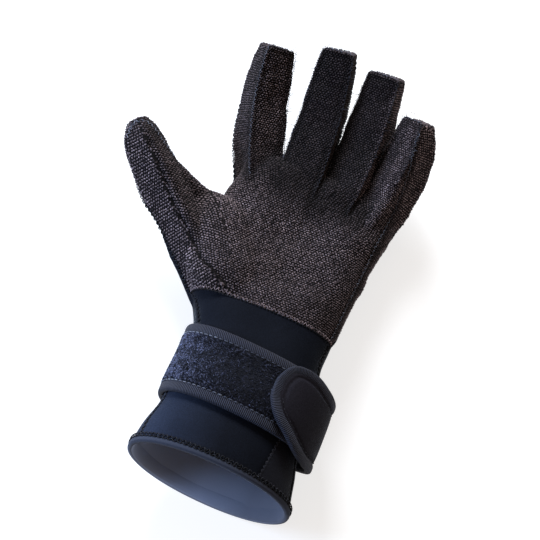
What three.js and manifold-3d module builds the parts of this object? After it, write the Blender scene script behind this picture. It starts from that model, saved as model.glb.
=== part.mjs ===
// Neoprene glove for the left hand, lying on its back with the palm up.
// Units are millimetres. +Y runs to the fingertips, +Z is the palm side, -X is the thumb side.
// Tables measure y from the mouth of the cuff; the origin is under the palm, on the face that it rests on.
import * as THREE from "three";
import { mergeVertices } from "three/addons/utils/BufferGeometryUtils.js";
import Module from "manifold-3d";

const wasm = await Module();
wasm.setup();

// Driving sizes
const REST_Y = 150;
const WALL = 3.0;
const SPLIT_GAP = 0.3;
const MOUTH_SLANT = -0.05;
const HEM_WIDTH = 6.5;
const HEM_RAISE = 0.8;
const PALM_EDGE_Y = 111;
const HAND_END_Y = 220;
const STRAP_LOW_Y = 37;
const STRAP_HIGH_Y = 85;
const STRAP_LEAN = 0.075;
const STRAP_LIFT = 0.35;
const STRAP_THICK = 2.9;
const BINDING_WIDTH = 7;
const BINDING_RAISE = 1.0;
const PILE_LIFT = 0.3;
const PILE_THICK = 0.9;
const TAB_CENTRE_X = 6;
const TAB_CENTRE_Z = 35.8;
const TAB_REACH_X = 49.3;
const TAB_TILT = 0.17;
const TAB_MIDDLE_Y = 58;
const TAB_THICK = 2.8;
const TAB_BINDING_WIDTH = 6;
const TAB_BINDING_RAISE = 0.6;
const TAB_END_TRIM = 7.5;
const TAB_STATIONS = 22;
const HAND_SIDES = 36;
const THENAR_SIDES = 20;
const CORNER_STEPS = 3;
const OUTER_STATIONS = 10;
const HOLLOW_STATIONS = 7;
const CURL_START = 10;

// Forearm, wrist and palm: one row per section across the hand
const HAND = [
  { y: -8, left: -51.5, right: 53.0, top: 78.5, bottom: 0.5, square: 2.1 },
  { y: 0, left: -50.0, right: 52.0, top: 77, bottom: 1.5, square: 2.1 },
  { y: 18, left: -47.0, right: 49.5, top: 74, bottom: 2.5, square: 2.1 },
  { y: 34, left: -43.0, right: 47.0, top: 70, bottom: 3.0, square: 2.2 },
  { y: 56, left: -41.5, right: 46.5, top: 66, bottom: 3.0, square: 2.3 },
  { y: 74, left: -40.5, right: 44.0, top: 62, bottom: 3.0, square: 2.4 },
  { y: 90, left: -41.5, right: 41.5, top: 58, bottom: 2.5, square: 2.5 },
  { y: 101, left: -45.0, right: 41.0, top: 55, bottom: 1.0, square: 2.6 },
  { y: 116, left: -50.0, right: 42.5, top: 52, bottom: -1.0, square: 2.7 },
  { y: 148, left: -54.0, right: 45.3, top: 46, bottom: -3.0, square: 2.9 },
  { y: 180, left: -55.0, right: 48.8, top: 40, bottom: -3.0, square: 3.2 },
  { y: 202, left: -53.5, right: 52.5, top: 35.5, bottom: -2.0, square: 3.6 },
  { y: 215, left: -50.0, right: 51.0, top: 32, bottom: -1.0, square: 3.6 },
  { y: 220, left: -46.0, right: 47.0, top: 27, bottom: 3.0, square: 3.0 },
];
const PALM_CUP = { x: -2, y: 164, wide: 26, long: 34, deep: 5 };

// Pad at the root of the thumb, which carries the palm's surface out to it
const THENAR = [
  { y: 103, left: -44, right: -10, top: 48, bottom: 12, square: 2.2 },
  { y: 115, left: -54, right: -6, top: 51.5, bottom: 6, square: 2.2 },
  { y: 130, left: -64, right: -6, top: 50.5, bottom: 5, square: 2.2 },
  { y: 145, left: -72, right: -12, top: 47.5, bottom: 6, square: 2.2 },
  { y: 160, left: -77, right: -20, top: 43.5, bottom: 9, square: 2.2 },
  { y: 171, left: -76, right: -28, top: 39.5, bottom: 13, square: 2.2 },
  { y: 178, left: -70, right: -38, top: 34, bottom: 17, square: 2.2 },
];

// Fingers and thumb: base point, heading in the palm plane, lift, roll and total curl in degrees.
// Sections: along, half width to each side, half depth.
const DIGITS = {
  index: {
    base: [-37.5, 190, 17], heading: -18.8, lift: 2, roll: 22, curl: 34, length: 99.5, corner: 3.2,
    sections: [
      { s: 0, left: 10, right: 13, half: 13.5 },
      { s: 30, left: 12, right: 13, half: 13 },
      { s: 62, left: 13, right: 11.5, half: 11 },
      { s: 90, left: 12, right: 10, half: 8.5 },
      { s: 99.5, left: 11, right: 9.2, half: 7 },
    ],
  },
  middle: {
    base: [-12, 190, 18], heading: -2, lift: 2, roll: -13, curl: 35, length: 110, corner: 3.2,
    sections: [
      { s: 0, left: 14, right: 13, half: 13.5 },
      { s: 36, left: 14, right: 13.5, half: 13 },
      { s: 70, left: 12.5, right: 13.5, half: 11 },
      { s: 98, left: 11, right: 12, half: 8.5 },
      { s: 110, left: 9.5, right: 11, half: 7 },
    ],
  },
  ring: {
    base: [12.5, 189, 18], heading: 6, lift: 2, roll: -20, curl: 35, length: 107, corner: 3.2,
    sections: [
      { s: 0, left: 13, right: 13, half: 13.5 },
      { s: 36, left: 13, right: 13, half: 13 },
      { s: 68, left: 13.5, right: 12, half: 11 },
      { s: 96, left: 12.5, right: 10.5, half: 8.5 },
      { s: 107, left: 11.5, right: 9.5, half: 7 },
    ],
  },
  little: {
    base: [31, 184, 19], heading: 19.5, lift: 6, roll: -40, curl: 38, length: 92, corner: 3.2,
    sections: [
      { s: 0, left: 13, right: 12, half: 12 },
      { s: 35, left: 13, right: 12, half: 13 },
      { s: 65, left: 12, right: 11.5, half: 12 },
      { s: 84, left: 10, right: 9.5, half: 9.5 },
      { s: 92, left: 9.5, right: 7.5, half: 7.5 },
    ],
  },
  thumb: {
    base: [-24, 106, 26], heading: -50, lift: 4, roll: 45, curl: 10, length: 137, corner: 4.5,
    sections: [
      { s: 0, left: 10, right: 14, half: 15 },
      { s: 30, left: 10, right: 14, half: 14 },
      { s: 60, left: 9.5, right: 12, half: 13.5 },
      { s: 90, left: 10, right: 10, half: 13.2 },
      { s: 112, left: 11, right: 9, half: 12 },
      { s: 128, left: 10, right: 7.5, half: 9.5 },
      { s: 137, left: 6.5, right: 5, half: 6 },
    ],
  },
};

// Web between thumb and palm: x, its free edge, its hidden edge, middle height and thickness
const WEB = [
  { x: -42, free: 176, hidden: 126, mid: 23, thick: 27 },
  { x: -58, free: 178, hidden: 132, mid: 24, thick: 25 },
  { x: -66, free: 179.5, hidden: 142, mid: 26, thick: 22 },
  { x: -74, free: 181.5, hidden: 150, mid: 29, thick: 19 },
  { x: -82, free: 184, hidden: 158, mid: 32, thick: 17 },
  { x: -92, free: 187, hidden: 168, mid: 36, thick: 14 },
];

// Height of the side seam between palm side and back: at the thumb, the palm's thumb edge, the far edge
const SEAM = [
  { y: -20, thumb: 37, near: 37, far: 50 },
  { y: 60, thumb: 37, near: 37, far: 47 },
  { y: 95, thumb: 36, near: 36, far: 36 },
  { y: 112, thumb: 30, near: 28, far: 20 },
  { y: 150, thumb: 33, near: 24, far: 12 },
  { y: 180, thumb: 36, near: 18, far: 11 },
  { y: 200, thumb: 39, near: 12, far: 11 },
  { y: 225, thumb: 42, near: 13, far: 14 },
  { y: 250, thumb: 42, near: 20, far: 21 },
  { y: 275, thumb: 42, near: 34, far: 34 },
  { y: 310, thumb: 62, near: 56, far: 56 },
];
const SEAM_X = { thumb: -122, near: -60, far: 55 };

// Gusset on the little-finger side of the cuff: its inner edge runs from the hem up under the strap
const GUSSET = { edgeX: 27.5, slope: 0.13, endY: 74 };

// Tab of the strap: angle round the forearm with the ends of each cross line
const TAB = [
  { angle: -90, low: 39, high: 87, reachZ: 35 },
  { angle: -45, low: 35, high: 82, reachZ: 35 },
  { angle: 0, low: 28.5, high: 75, reachZ: 35 },
  { angle: 30, low: 25.5, high: 76.5, reachZ: 38 },
  { angle: 46, low: 28.5, high: 79, reachZ: 39.5 },
  { angle: 56, low: 33.5, high: 79.5, reachZ: 39.5 },
  { angle: 67, low: 39.5, high: 78, reachZ: 39.0 },
  { angle: 73, low: 45.5, high: 73.5, reachZ: 38.5 },
  { angle: 77.5, low: 53, high: 65, reachZ: 38.0 },
];

const COLOURS = {
  palm: 0x3f3a40, back: 0x272e42, cuff: 0x1d2230, gusset: 0x17171c,
  binding: 0x15161b, pile: 0x2e3145, tab: 0x1c1a1f,
};

const rad = THREE.MathUtils.degToRad;
const lerp = THREE.MathUtils.lerp;

// Smooth value of one column of a table at a place along its key column
function column(table, key, name, at) {
  let i = 0;
  while (i < table.length - 2 && at > table[i + 1][key]) i += 1;
  const step = table[i + 1][key] - table[i][key];
  const t = THREE.MathUtils.clamp((at - table[i][key]) / step, 0, 1);
  const slope = (j) => {
    const a = table[Math.max(j - 1, 0)];
    const b = table[Math.min(j + 1, table.length - 1)];
    return (b[name] - a[name]) / (b[key] - a[key]);
  };
  const start = table[i][name];
  const end = table[i + 1][name];
  const ease = t * t * (3 - 2 * t);
  const rise = t * (1 - t) * (1 - t) * slope(i) * step;
  const fall = t * t * (t - 1) * slope(i + 1) * step;
  return start + (end - start) * ease + rise + fall;
}

const power = (value, exponent) => Math.sign(value) * Math.abs(value) ** exponent;

// Point at an angle round a section of the hand or the thumb's pad, moved out by grow
function sectionPoint(table, angle, y, grow) {
  const col = (name) => column(table, "y", name, y);
  const halfX = (col("right") - col("left")) / 2 + grow;
  const halfZ = (col("top") - col("bottom")) / 2 + grow;
  const soften = 2 / col("square");
  const x = (col("left") + col("right")) / 2 + halfX * power(Math.cos(angle), soften);
  const z = (col("top") + col("bottom")) / 2 + halfZ * power(Math.sin(angle), soften);
  return new THREE.Vector3(x, y, z);
}

// The same on the hand, with the hollow of the palm, held above the floor
function handPoint(angle, y, grow, floor) {
  const p = sectionPoint(HAND, angle, y, grow);
  const cup = PALM_CUP;
  const away = ((p.x - cup.x) / cup.wide) ** 2 + ((y - cup.y) / cup.long) ** 2;
  p.z = Math.max(p.z - cup.deep * Math.max(Math.sin(angle), 0) * Math.exp(-away), floor);
  return p;
}

// Closed solid through rings of points, with a fan at each end
function loft(rings) {
  const around = rings[0].length;
  const points = rings.flat();
  const faces = [];
  for (let i = 0; i < rings.length - 1; i += 1) {
    for (let j = 0; j < around; j += 1) {
      const a = i * around + j;
      const b = i * around + ((j + 1) % around);
      faces.push([a, b, b + around], [a, b + around, a + around]);
    }
  }
  const middle = (ring) => ring.reduce((sum, p) => sum.add(p), new THREE.Vector3()).divideScalar(around);
  const first = points.length;
  const last = first + 1;
  points.push(middle(rings[0]), middle(rings[rings.length - 1]));
  const base = (rings.length - 1) * around;
  for (let j = 0; j < around; j += 1) {
    const next = (j + 1) % around;
    faces.push([first, next, j], [last, base + j, base + next]);
  }
  return solid(points, faces);
}

function solid(points, faces) {
  const volume = faces.reduce((sum, [a, b, c]) =>
    sum + points[a].dot(new THREE.Vector3().crossVectors(points[b], points[c])), 0);
  const outward = volume > 0 ? faces : faces.map(([a, b, c]) => [a, c, b]);
  const mesh = new wasm.Mesh({
    numProp: 3,
    vertProperties: new Float32Array(points.flatMap((p) => [p.x, p.y, p.z])),
    triVerts: new Uint32Array(outward.flat()),
  });
  return new wasm.Manifold(mesh);
}

function handSolid(grow, startY, endY, floor, halved) {
  const rings = [];
  const rows = HAND.map((row) => row.y);
  const ys = halved ? rows.flatMap((y, i) => (i ? [(y + rows[i - 1]) / 2, y] : [y])) : rows;
  const inside = ys.filter((y) => y > startY + 1 && y < endY - 1);
  for (const y of [startY, ...inside, endY]) {
    const ring = [];
    for (let j = 0; j < HAND_SIDES; j += 1) {
      ring.push(handPoint((2 * Math.PI * j) / HAND_SIDES, y, grow, floor));
    }
    rings.push(ring);
  }
  return loft(rings);
}

function thenarSolid(inset, stations) {
  const first = THENAR[0].y + inset;
  const last = THENAR[THENAR.length - 1].y - inset;
  const angles = Array.from({ length: THENAR_SIDES }, (_, j) => (2 * Math.PI * j) / THENAR_SIDES);
  return loft(Array.from({ length: stations + 1 }, (_, i) => {
    const y = lerp(first, last, i / stations);
    return angles.map((angle) => sectionPoint(THENAR, angle, y, -inset));
  }));
}

// Rounded cross line of a digit or the web, as pairs across and up
function roundedSection(left, right, half, corner) {
  const centre = (right - left) / 2;
  const wide = (right + left) / 2;
  const r = Math.max(Math.min(corner, wide * 0.9, half * 0.9), 0.6);
  const quarters = [[1, 1, 0], [-1, 1, 90], [-1, -1, 180], [1, -1, 270]];
  return quarters.flatMap(([sx, sz, from]) =>
    Array.from({ length: CORNER_STEPS }, (_, k) => {
      const a = rad(from + (90 * k) / (CORNER_STEPS - 1));
      return [centre + sx * (wide - r) + r * Math.cos(a), sz * (half - r) + r * Math.sin(a)];
    }));
}

// Centre line of a digit: it leaves its base straight, then curls evenly to the tip
function digitPath(digit) {
  const heading = rad(digit.heading);
  const lift = rad(digit.lift);
  const flat = Math.cos(lift);
  const along = new THREE.Vector3(Math.sin(heading) * flat, Math.cos(heading) * flat, Math.sin(lift));
  const side = new THREE.Vector3(Math.cos(heading), -Math.sin(heading), 0);
  side.applyAxisAngle(along, rad(digit.roll));
  const up = new THREE.Vector3().crossVectors(side, along);
  const bend = rad(digit.curl) / (digit.length - CURL_START);
  const at = new THREE.Vector3(...digit.base);
  const path = [];
  for (let s = 0; s <= digit.length + 1; s += 1) {
    path.push({ at: at.clone(), side: side.clone(), up: up.clone() });
    if (s >= CURL_START) {
      along.applyAxisAngle(side, bend).normalize();
      up.crossVectors(side, along);
    }
    at.add(along);
  }
  return path;
}

function digitSolid(digit, inset, floor, stations) {
  const path = digitPath(digit);
  const rings = [];
  for (let i = 0; i <= stations; i += 1) {
    const s = ((digit.length - inset) * i) / stations;
    const col = (name) => column(digit.sections, "s", name, s) - inset;
    const here = path[Math.floor(s)];
    const ahead = path[Math.floor(s) + 1];
    const centre = here.at.clone().lerp(ahead.at, s - Math.floor(s));
    const line = roundedSection(col("left"), col("right"), col("half"), digit.corner - inset * 0.6);
    rings.push(line.map(([across, high]) => {
      const p = centre.clone().addScaledVector(here.side, across).addScaledVector(here.up, high);
      p.z = Math.max(p.z, floor);
      return p;
    }));
  }
  return loft(rings);
}

function webSolid(inset) {
  return loft(WEB.map((row) => {
    const half = (row.free - row.hidden) / 2 - inset;
    const line = roundedSection(half, half, row.thick / 2 - inset, 5 - inset);
    return line.map(([along, high]) =>
      new THREE.Vector3(row.x, (row.free + row.hidden) / 2 + along, row.mid + high));
  }));
}

function joined(solids) {
  return solids.reduce((all, one) => all.add(one));
}

// Block below the side seam, its top moved up or down by shift
function belowSeam(shift) {
  return loft(SEAM.map((row) => {
    const slope = (row.near - row.far) / (SEAM_X.far - SEAM_X.near);
    const line = [
      [-170, row.thumb],
      [SEAM_X.thumb, row.thumb],
      [SEAM_X.near, row.near],
      [SEAM_X.far, row.far],
      [100, row.far],
    ];
    const top = line.map(([x, z]) => new THREE.Vector3(x, row.y, z + shift));
    return [...top, new THREE.Vector3(100, row.y, -40), new THREE.Vector3(-170, row.y, -40)];
  }));
}

// Slab across the glove between two places along it, with its faces slanted like the mouth
function slab(fromY, toY, slant) {
  const corners = [[-200, -60], [120, -60], [120, 140], [-200, 140]];
  return loft([fromY, toY].map((y) => corners.map(([x, z]) => new THREE.Vector3(x, y + slant * x, z))));
}

// Half space on the little-finger side of the gusset's inner edge
function gussetBlock(shift, endY) {
  const edge = (y) => GUSSET.edgeX + GUSSET.slope * y + shift;
  return loft([-30, endY].map((y) =>
    [[edge(y), 0], [120, 0], [120, 140], [edge(y), 140]].map(([x, z]) => new THREE.Vector3(x, y, z))));
}

// Point on a band round the forearm; the band leans to the little-finger side
function bandPoint(angle, lineY, grow) {
  let p = handPoint(angle, lineY, grow, 0);
  for (let pass = 0; pass < 4; pass += 1) {
    const y = lineY - STRAP_LEAN * p.x + STRAP_LEAN * (TAB_CENTRE_Z - p.z);
    p = handPoint(angle, y, grow, 0);
  }
  return p;
}

// Band round the forearm from one angle to another, between two lines and two distances off the neoprene
function band(fromAngle, toAngle, lowY, highY, inner, outer, stations, across) {
  const rings = [];
  for (let i = 0; i <= stations; i += 1) {
    const angle = rad(lerp(fromAngle, toAngle, i / stations));
    const ring = [];
    for (let k = 0; k <= across; k += 1) ring.push(bandPoint(angle, lerp(lowY, highY, k / across), outer));
    for (let k = across; k >= 0; k -= 1) ring.push(bandPoint(angle, lerp(lowY, highY, k / across), inner));
    rings.push(ring);
  }
  return loft(rings);
}

// Tab sheet: trim takes its edges in, low and high are its faces measured from the middle sheet,
// lead adds stations before its first one and endTrims takes its rounded end back, all in degrees
function tabSolid(trim, lead, endTrims, low, high) {
  const from = TAB[0].angle;
  const full = TAB[TAB.length - 1].angle;
  const ends = endTrims.map((degrees) => full - degrees);
  const even = Array.from({ length: TAB_STATIONS }, (_, i) => lerp(from, full, 1 - (1 - i / TAB_STATIONS) ** 1.4));
  const inner = even.filter((degrees) => degrees < ends[0] - 0.5);
  const rings = [...lead.map((degrees) => from - degrees), ...inner, ...ends].map((degrees) => {
    const angle = rad(degrees);
    const edge = (name) => column(TAB, "angle", name, degrees);
    const up = Math.sin(angle);
    const point = (y, off) => {
      const reach = edge("reachZ") + off + (up > 0 ? TAB_TILT * (TAB_MIDDLE_Y - y) : 0);
      const x = TAB_CENTRE_X + (TAB_REACH_X + off) * Math.cos(angle);
      return new THREE.Vector3(x, y, Math.max(TAB_CENTRE_Z + reach * up, 0));
    };
    const lowY = edge("low") + trim;
    const highY = Math.max(edge("high") - trim, lowY + 2);
    return [point(lowY, high), point(highY, high), point(highY, low), point(lowY, low)];
  });
  return loft(rings);
}

const group = new THREE.Group();

function addNode(name, shape, colour) {
  const mesh = shape.getMesh();
  let geometry = new THREE.BufferGeometry();
  const positions = [];
  for (let i = 0; i < mesh.vertProperties.length; i += mesh.numProp) {
    positions.push(mesh.vertProperties[i], mesh.vertProperties[i + 1] - REST_Y, mesh.vertProperties[i + 2]);
  }
  geometry.setAttribute("position", new THREE.Float32BufferAttribute(positions, 3));
  geometry.setIndex([...mesh.triVerts]);
  geometry = mergeVertices(geometry, 1e-4);
  const material = new THREE.MeshStandardMaterial({ color: colour, roughness: 0.9, side: THREE.FrontSide });
  material.name = name;
  const node = new THREE.Mesh(geometry, material);
  node.name = name;
  group.add(node);
}

const digits = Object.values(DIGITS);
const outer = joined([
  handSolid(0, -8, HAND_END_Y, 0, true), thenarSolid(0, 8), webSolid(0),
  ...digits.map((digit) => digitSolid(digit, 0, 0, OUTER_STATIONS)),
]);
const hollow = joined([
  handSolid(-WALL, -8, HAND_END_Y - WALL, WALL, false), thenarSolid(WALL, 5), webSolid(WALL),
  ...digits.map((digit) => digitSolid(digit, WALL, WALL, HOLLOW_STATIONS)),
]);
const half = SPLIT_GAP / 2;
const shell = outer.subtract(hollow);
const palmSide = shell.subtract(belowSeam(half));
const backSide = shell.intersect(belowSeam(-half));

const cuffStart = HEM_WIDTH + SPLIT_GAP;
const handRegion = slab(PALM_EDGE_Y + half, 400, 0);
const cuffRegion = slab(cuffStart, 60, MOUTH_SLANT).add(slab(50, PALM_EDGE_Y - half, 0));
const backRegion = slab(cuffStart, 400, MOUTH_SLANT);
const cuffPalm = palmSide.intersect(cuffRegion);

const hemOuter = handSolid(HEM_RAISE, -8, 40, 0, true);
const hemInner = handSolid(-WALL, -8, 40, WALL, false);
const hem = hemOuter.subtract(hemInner).intersect(slab(0, HEM_WIDTH, MOUTH_SLANT));

addNode("palm_panel", palmSide.intersect(handRegion), COLOURS.palm);
addNode("back_panel", backSide.intersect(backRegion), COLOURS.back);
addNode("cuff_panel", cuffPalm.subtract(gussetBlock(-half, GUSSET.endY + half)), COLOURS.cuff);
addNode("cuff_gusset", cuffPalm.intersect(gussetBlock(half, GUSSET.endY - half)), COLOURS.gusset);
addNode("cuff_hem", hem, COLOURS.cuff);

const strapTop = STRAP_LIFT + STRAP_THICK;
const lowBindingEnd = STRAP_LOW_Y + BINDING_WIDTH;
const highBindingStart = STRAP_HIGH_Y - BINDING_WIDTH;
const strapBody = [lowBindingEnd + SPLIT_GAP, highBindingStart - SPLIT_GAP];
const bindingTop = strapTop + BINDING_RAISE;
const STRAP_BACK = 272.5;
const STRAP_PALM = 42;
addNode("strap_band", band(STRAP_BACK, STRAP_PALM, ...strapBody, STRAP_LIFT, strapTop, 30, 3), COLOURS.gusset);
addNode("strap_lower_binding",
  band(STRAP_BACK, STRAP_PALM, STRAP_LOW_Y, lowBindingEnd, STRAP_LIFT, bindingTop, 30, 1), COLOURS.binding);
addNode("strap_upper_binding",
  band(STRAP_BACK, STRAP_PALM, highBindingStart, STRAP_HIGH_Y, STRAP_LIFT, bindingTop, 30, 1), COLOURS.binding);
addNode("strap_loop_patch",
  band(196, 50, ...strapBody, strapTop + PILE_LIFT, strapTop + PILE_LIFT + PILE_THICK, 18, 3), COLOURS.pile);

const halfTab = TAB_THICK / 2;
const tabFace = tabSolid(0, [], [0], -halfTab, halfTab);
const tabBorder = tabSolid(0, [], [0], -halfTab, halfTab + TAB_BINDING_RAISE);
const insideBorder = tabSolid(TAB_BINDING_WIDTH, [1], [TAB_END_TRIM], -5, 5);
const tabCut = tabSolid(TAB_BINDING_WIDTH - SPLIT_GAP, [1], [TAB_END_TRIM, TAB_END_TRIM - 0.5], -6, 6);
addNode("strap_tab", tabFace.intersect(insideBorder), COLOURS.tab);
addNode("tab_binding", tabBorder.subtract(tabCut), COLOURS.binding);

export default group;
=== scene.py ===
"""Looks of a neoprene glove for the left hand, lying on its back with the palm up.

Shapes are worked out in millimetres in the frame of the CAD model, with y measured from the mouth
of the cuff, and go into Blender in metres with the origin under the palm.
"""
import math

import bmesh
import bpy
import numpy as np
from mathutils import Matrix, kdtree


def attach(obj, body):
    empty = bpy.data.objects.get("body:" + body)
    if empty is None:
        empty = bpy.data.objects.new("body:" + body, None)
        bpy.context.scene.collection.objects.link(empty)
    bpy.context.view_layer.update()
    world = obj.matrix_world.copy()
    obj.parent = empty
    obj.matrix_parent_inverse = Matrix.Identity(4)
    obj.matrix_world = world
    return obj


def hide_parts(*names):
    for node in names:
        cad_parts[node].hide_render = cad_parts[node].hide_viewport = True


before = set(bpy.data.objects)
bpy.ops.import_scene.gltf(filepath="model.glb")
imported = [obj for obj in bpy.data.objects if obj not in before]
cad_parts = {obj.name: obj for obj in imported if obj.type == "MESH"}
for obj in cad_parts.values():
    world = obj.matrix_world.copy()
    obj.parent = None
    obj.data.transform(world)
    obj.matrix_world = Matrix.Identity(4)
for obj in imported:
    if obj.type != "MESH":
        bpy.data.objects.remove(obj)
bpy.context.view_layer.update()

MM = 0.001
REST_Y = 150.0

# Driving sizes in millimetres, angles in degrees
WALL = 3.0
MOUTH_SLANT = -0.05
MOUTH_LEAN = 0.038
MOUTH_TOP_Z = 76.0
HEM_WIDTH = 5.4
HEM_RAISE = 0.8
HEM_GROOVE = 3.8
HEM_RUN = 270.0
PALM_EDGE_Y = 111.0
STRAP_LOW_Y = 37.0
STRAP_HIGH_Y = 85.0
STRAP_LEAN = 0.075
STRAP_LIFT = 0.35
STRAP_THICK = 2.9
STRAP_BACK = 272.5
STRAP_PALM = 42.0
PILE_START = 196.0
PILE_END = 50.0
PILE_STRANDS = 10500
PILE_WIDTH = 0.32
BINDING_WIDTH = 7.0
TAB_CENTRE_X = 6.0
TAB_CENTRE_Z = 35.8
TAB_REACH_X = 49.3
TAB_TILT = 0.17
TAB_MIDDLE_Y = 58.0
TAB_THICK = 2.8
TAB_BINDING_WIDTH = 6.0
TAB_FACE_INSET = 4.6
TAB_CROWN = 0.9
TAB_GROOVE = 0.7
TAB_STITCH_INSET = 2.6
TAB_FACE_TRIM = 5.5
TAB_RADIUS = 42
TAB_ARC = math.radians(1) * TAB_RADIUS
TAB_FLOOR = 0.1
CURL_START = 10.0
BELOW = -20.0

# Sizes of the Blender skin
VOXEL = 1.08
SMOOTH_PASSES = 3
SMOOTH_SHARE = 0.55
SKIN_THICK = WALL - 0.2
INNER_FLOOR = 0.6
PALM_RAISE = 0.2
SEAM_DEPTH = 0.55
SEAM_REACH = 1.5
CALM_UNDER_STRAP_Y = (24, 34, 88, 100)

# Knit of the palm: a loop every two columns, staggered from row to row
KNIT_COLUMN = 0.93
KNIT_ROW = 1.5
LOOP_LEAN = 14.0
LOOP_SCATTER = 15.0
STRIP_ROW_STRETCH = 0.8
WRAP_START = 5.0
WRAP_SHARE = 0.8

# Bow of the stitches and how much their shades differ
STITCH_BOW = 0.35
STITCH_TINT_SPREAD = 0.18

# Camera: where it looks, how far it leans back to the cuff, how the picture is turned, and its scale
CAMERA_TARGET = (-0.011, -0.005, 0.028)
CAMERA_DISTANCE = 1.6
CAMERA_TILT = math.radians(22)
CAMERA_ROLL = math.radians(22)
METRES_PER_PIXEL = 0.00062
PICTURE_SIDE = 540
SENSOR = 36.0

# Studio light
SKY_COLOUR = (1.0, 0.82, 0.70, 1)
SKY_STRENGTH = 0.34
KEY_OFFSET = (-0.55, 0.98, 0.62)
KEY_SIZE = 0.5
KEY_ENERGY = 33.0
KEY_COLOUR = (0.88, 0.94, 1.02)
SIDE_OFFSET = (-0.78, -0.32, 0.28)
SIDE_SIZE = 0.35
SIDE_ENERGY = 9.5
SIDE_COLOUR = (0.62, 0.85, 1.25)
BACKDROP_RADIUS = 7.0
FLOOR_HALF = 4.0
FLOOR_COLOUR = (0.45, 0.45, 0.45)
FLOOR_GLOW = 0.72

# Colours, and in metres where the mouth's rim changes its colour, where painted shade darkens the
# lining, and where painted light and shade change the cuff's neoprene
WHITE = (1, 1, 1)
BLACK = (0, 0, 0)
KNIT_DARK = (0.003, 0.0025, 0.003)
KNIT_MIDDLE = (0.0115, 0.0088, 0.0098)
KNIT_LIGHT = (0.058, 0.045, 0.049)
LINING_DARK = (0.170, 0.196, 0.268)
LINING_LIGHT = (0.188, 0.215, 0.288)
RIM_LIGHT = (0.100, 0.114, 0.155)
RIM_DARK = (0.026, 0.030, 0.044)
LINING_PAINTED_SHADE_X = 0.045
MOUTH_HEIGHT = 0.08
PAINTED_LIGHT_WIDTH = -0.042
PAINTED_LIGHT_LENGTH = 0.03
PAINTED_LIGHT_START = 0.105
SHADER_INPUTS = dict(
    colour="Base Color", roughness="Roughness", specular="Specular IOR Level", sheen="Sheen Weight",
    sheen_roughness="Sheen Roughness", sheen_tint="Sheen Tint", glow="Emission Strength",
    glow_colour="Emission Color")


def table(names, *rows):
    """Rows as dicts, with one name for each column."""
    return [dict(zip(names.split(), row)) for row in rows]


# Forearm, wrist and palm: one row per section across the hand
HAND = table(
    "y left right top bottom square",
    (-8, -51.5, 54.5, 78.5, 0.5, 2.1),
    (0, -50, 53.5, 77, 1.5, 2.1),
    (18, -47.5, 50, 74, 2.5, 2.1),
    (34, -43, 47, 70, 3, 2.2),
    (56, -41.5, 46.5, 66, 3, 2.3),
    (74, -40.5, 44, 62, 3, 2.4),
    (90, -41.5, 41.5, 58, 2.5, 2.5),
    (101, -45, 41, 55, 1, 2.6),
    (116, -50, 42.5, 52, -1, 2.7),
    (148, -54, 45.3, 46, -3, 2.9),
    (180, -55, 48.8, 40, -3, 3.2),
    (202, -53.5, 52.5, 35.5, -2, 3.6),
    (215, -50, 51, 32, -1, 3.6),
    (220, -46, 47, 27, 3, 3),
)
PALM_CUP = dict(x=-2, y=164, wide=26, long=34, deep=5)

# Pad at the root of the thumb
THENAR = table(
    "y left right top bottom square",
    (103, -44, -10, 48, 12, 2.2),
    (115, -54, -6, 51.5, 6, 2.2),
    (130, -64, -6, 50.5, 5, 2.2),
    (145, -72, -12, 47.5, 6, 2.2),
    (160, -77, -20, 43.5, 9, 2.2),
    (171, -76, -28, 39.5, 13, 2.2),
    (178, -70, -38, 34, 17, 2.2),
)


def digit_table(rows, corner=3.2, turn=(2, 34), pull=1.0, front=1.0, near=1.0, far=1.0, **pose):
    """One digit with its cross lines, the last of them at its length."""
    return dict(pose, corner=corner, turn=turn, pull=pull, front=front, near=near, far=far,
                length=rows[-1][0], sections=table("s left right half", *rows))


# Fingers and thumb: base, heading, lift, roll and curl in degrees; the knit turns into the digit's own
# direction between the two places along it in turn; front, near and far are painted light or shade
# on its three seen sides
DIGITS = dict(
    index=digit_table(
        base=(-37.5, 190, 17), heading=-18.8, lift=2, roll=22, curl=34, front=1.3, near=0.95, rows=[
            (0, 10, 13, 13.5), (30, 12, 13, 13), (62, 13, 11.5, 11), (90, 12, 10, 8.5),
            (99.5, 11, 9.2, 7)]),
    middle=digit_table(
        base=(-12, 190, 18), heading=-2, lift=2, roll=-13, curl=35, front=0.74, rows=[
            (0, 14, 13, 13.5), (36, 14, 13.5, 13), (70, 12.5, 13.5, 11), (98, 11, 12, 8.5),
            (110, 9.5, 11, 7)]),
    ring=digit_table(
        base=(12.5, 189, 18), heading=6, lift=2, roll=-20, curl=35, front=0.72, rows=[
            (0, 13, 13, 13.5), (36, 13, 13, 13), (68, 13.5, 12, 11), (96, 12.5, 10.5, 8.5),
            (107, 11.5, 9.5, 7)]),
    little=digit_table(
        base=(31, 184, 19), heading=19.5, lift=6, roll=-40, curl=38, front=1.2, far=1.5, rows=[
            (0, 13, 12, 12), (35, 13, 12, 13), (65, 12, 11.5, 12), (84, 10, 9.5, 9.5),
            (92, 9.5, 7.5, 7.5)]),
    thumb=digit_table(
        base=(-24, 106, 26), heading=-50, lift=4, roll=45, curl=10, corner=4.5, turn=(20, 110),
        pull=0.4, front=0.8, rows=[
            (0, 10, 14, 15), (30, 10, 14, 14), (60, 9.5, 12, 13.5), (90, 10, 10, 13.2),
            (112, 11, 9, 12), (128, 10, 7.5, 9.5), (137, 6.5, 5, 6)]),
)

# Web between thumb and palm
WEB = table(
    "x free hidden mid thick",
    (-92, 187, 168, 36, 14),
    (-82, 182.8, 158, 32, 17),
    (-74, 179.5, 150, 29, 19),
    (-66, 177.5, 142, 26, 22),
    (-58, 176.8, 132, 24, 25),
    (-42, 176, 126, 23, 27),
)

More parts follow.
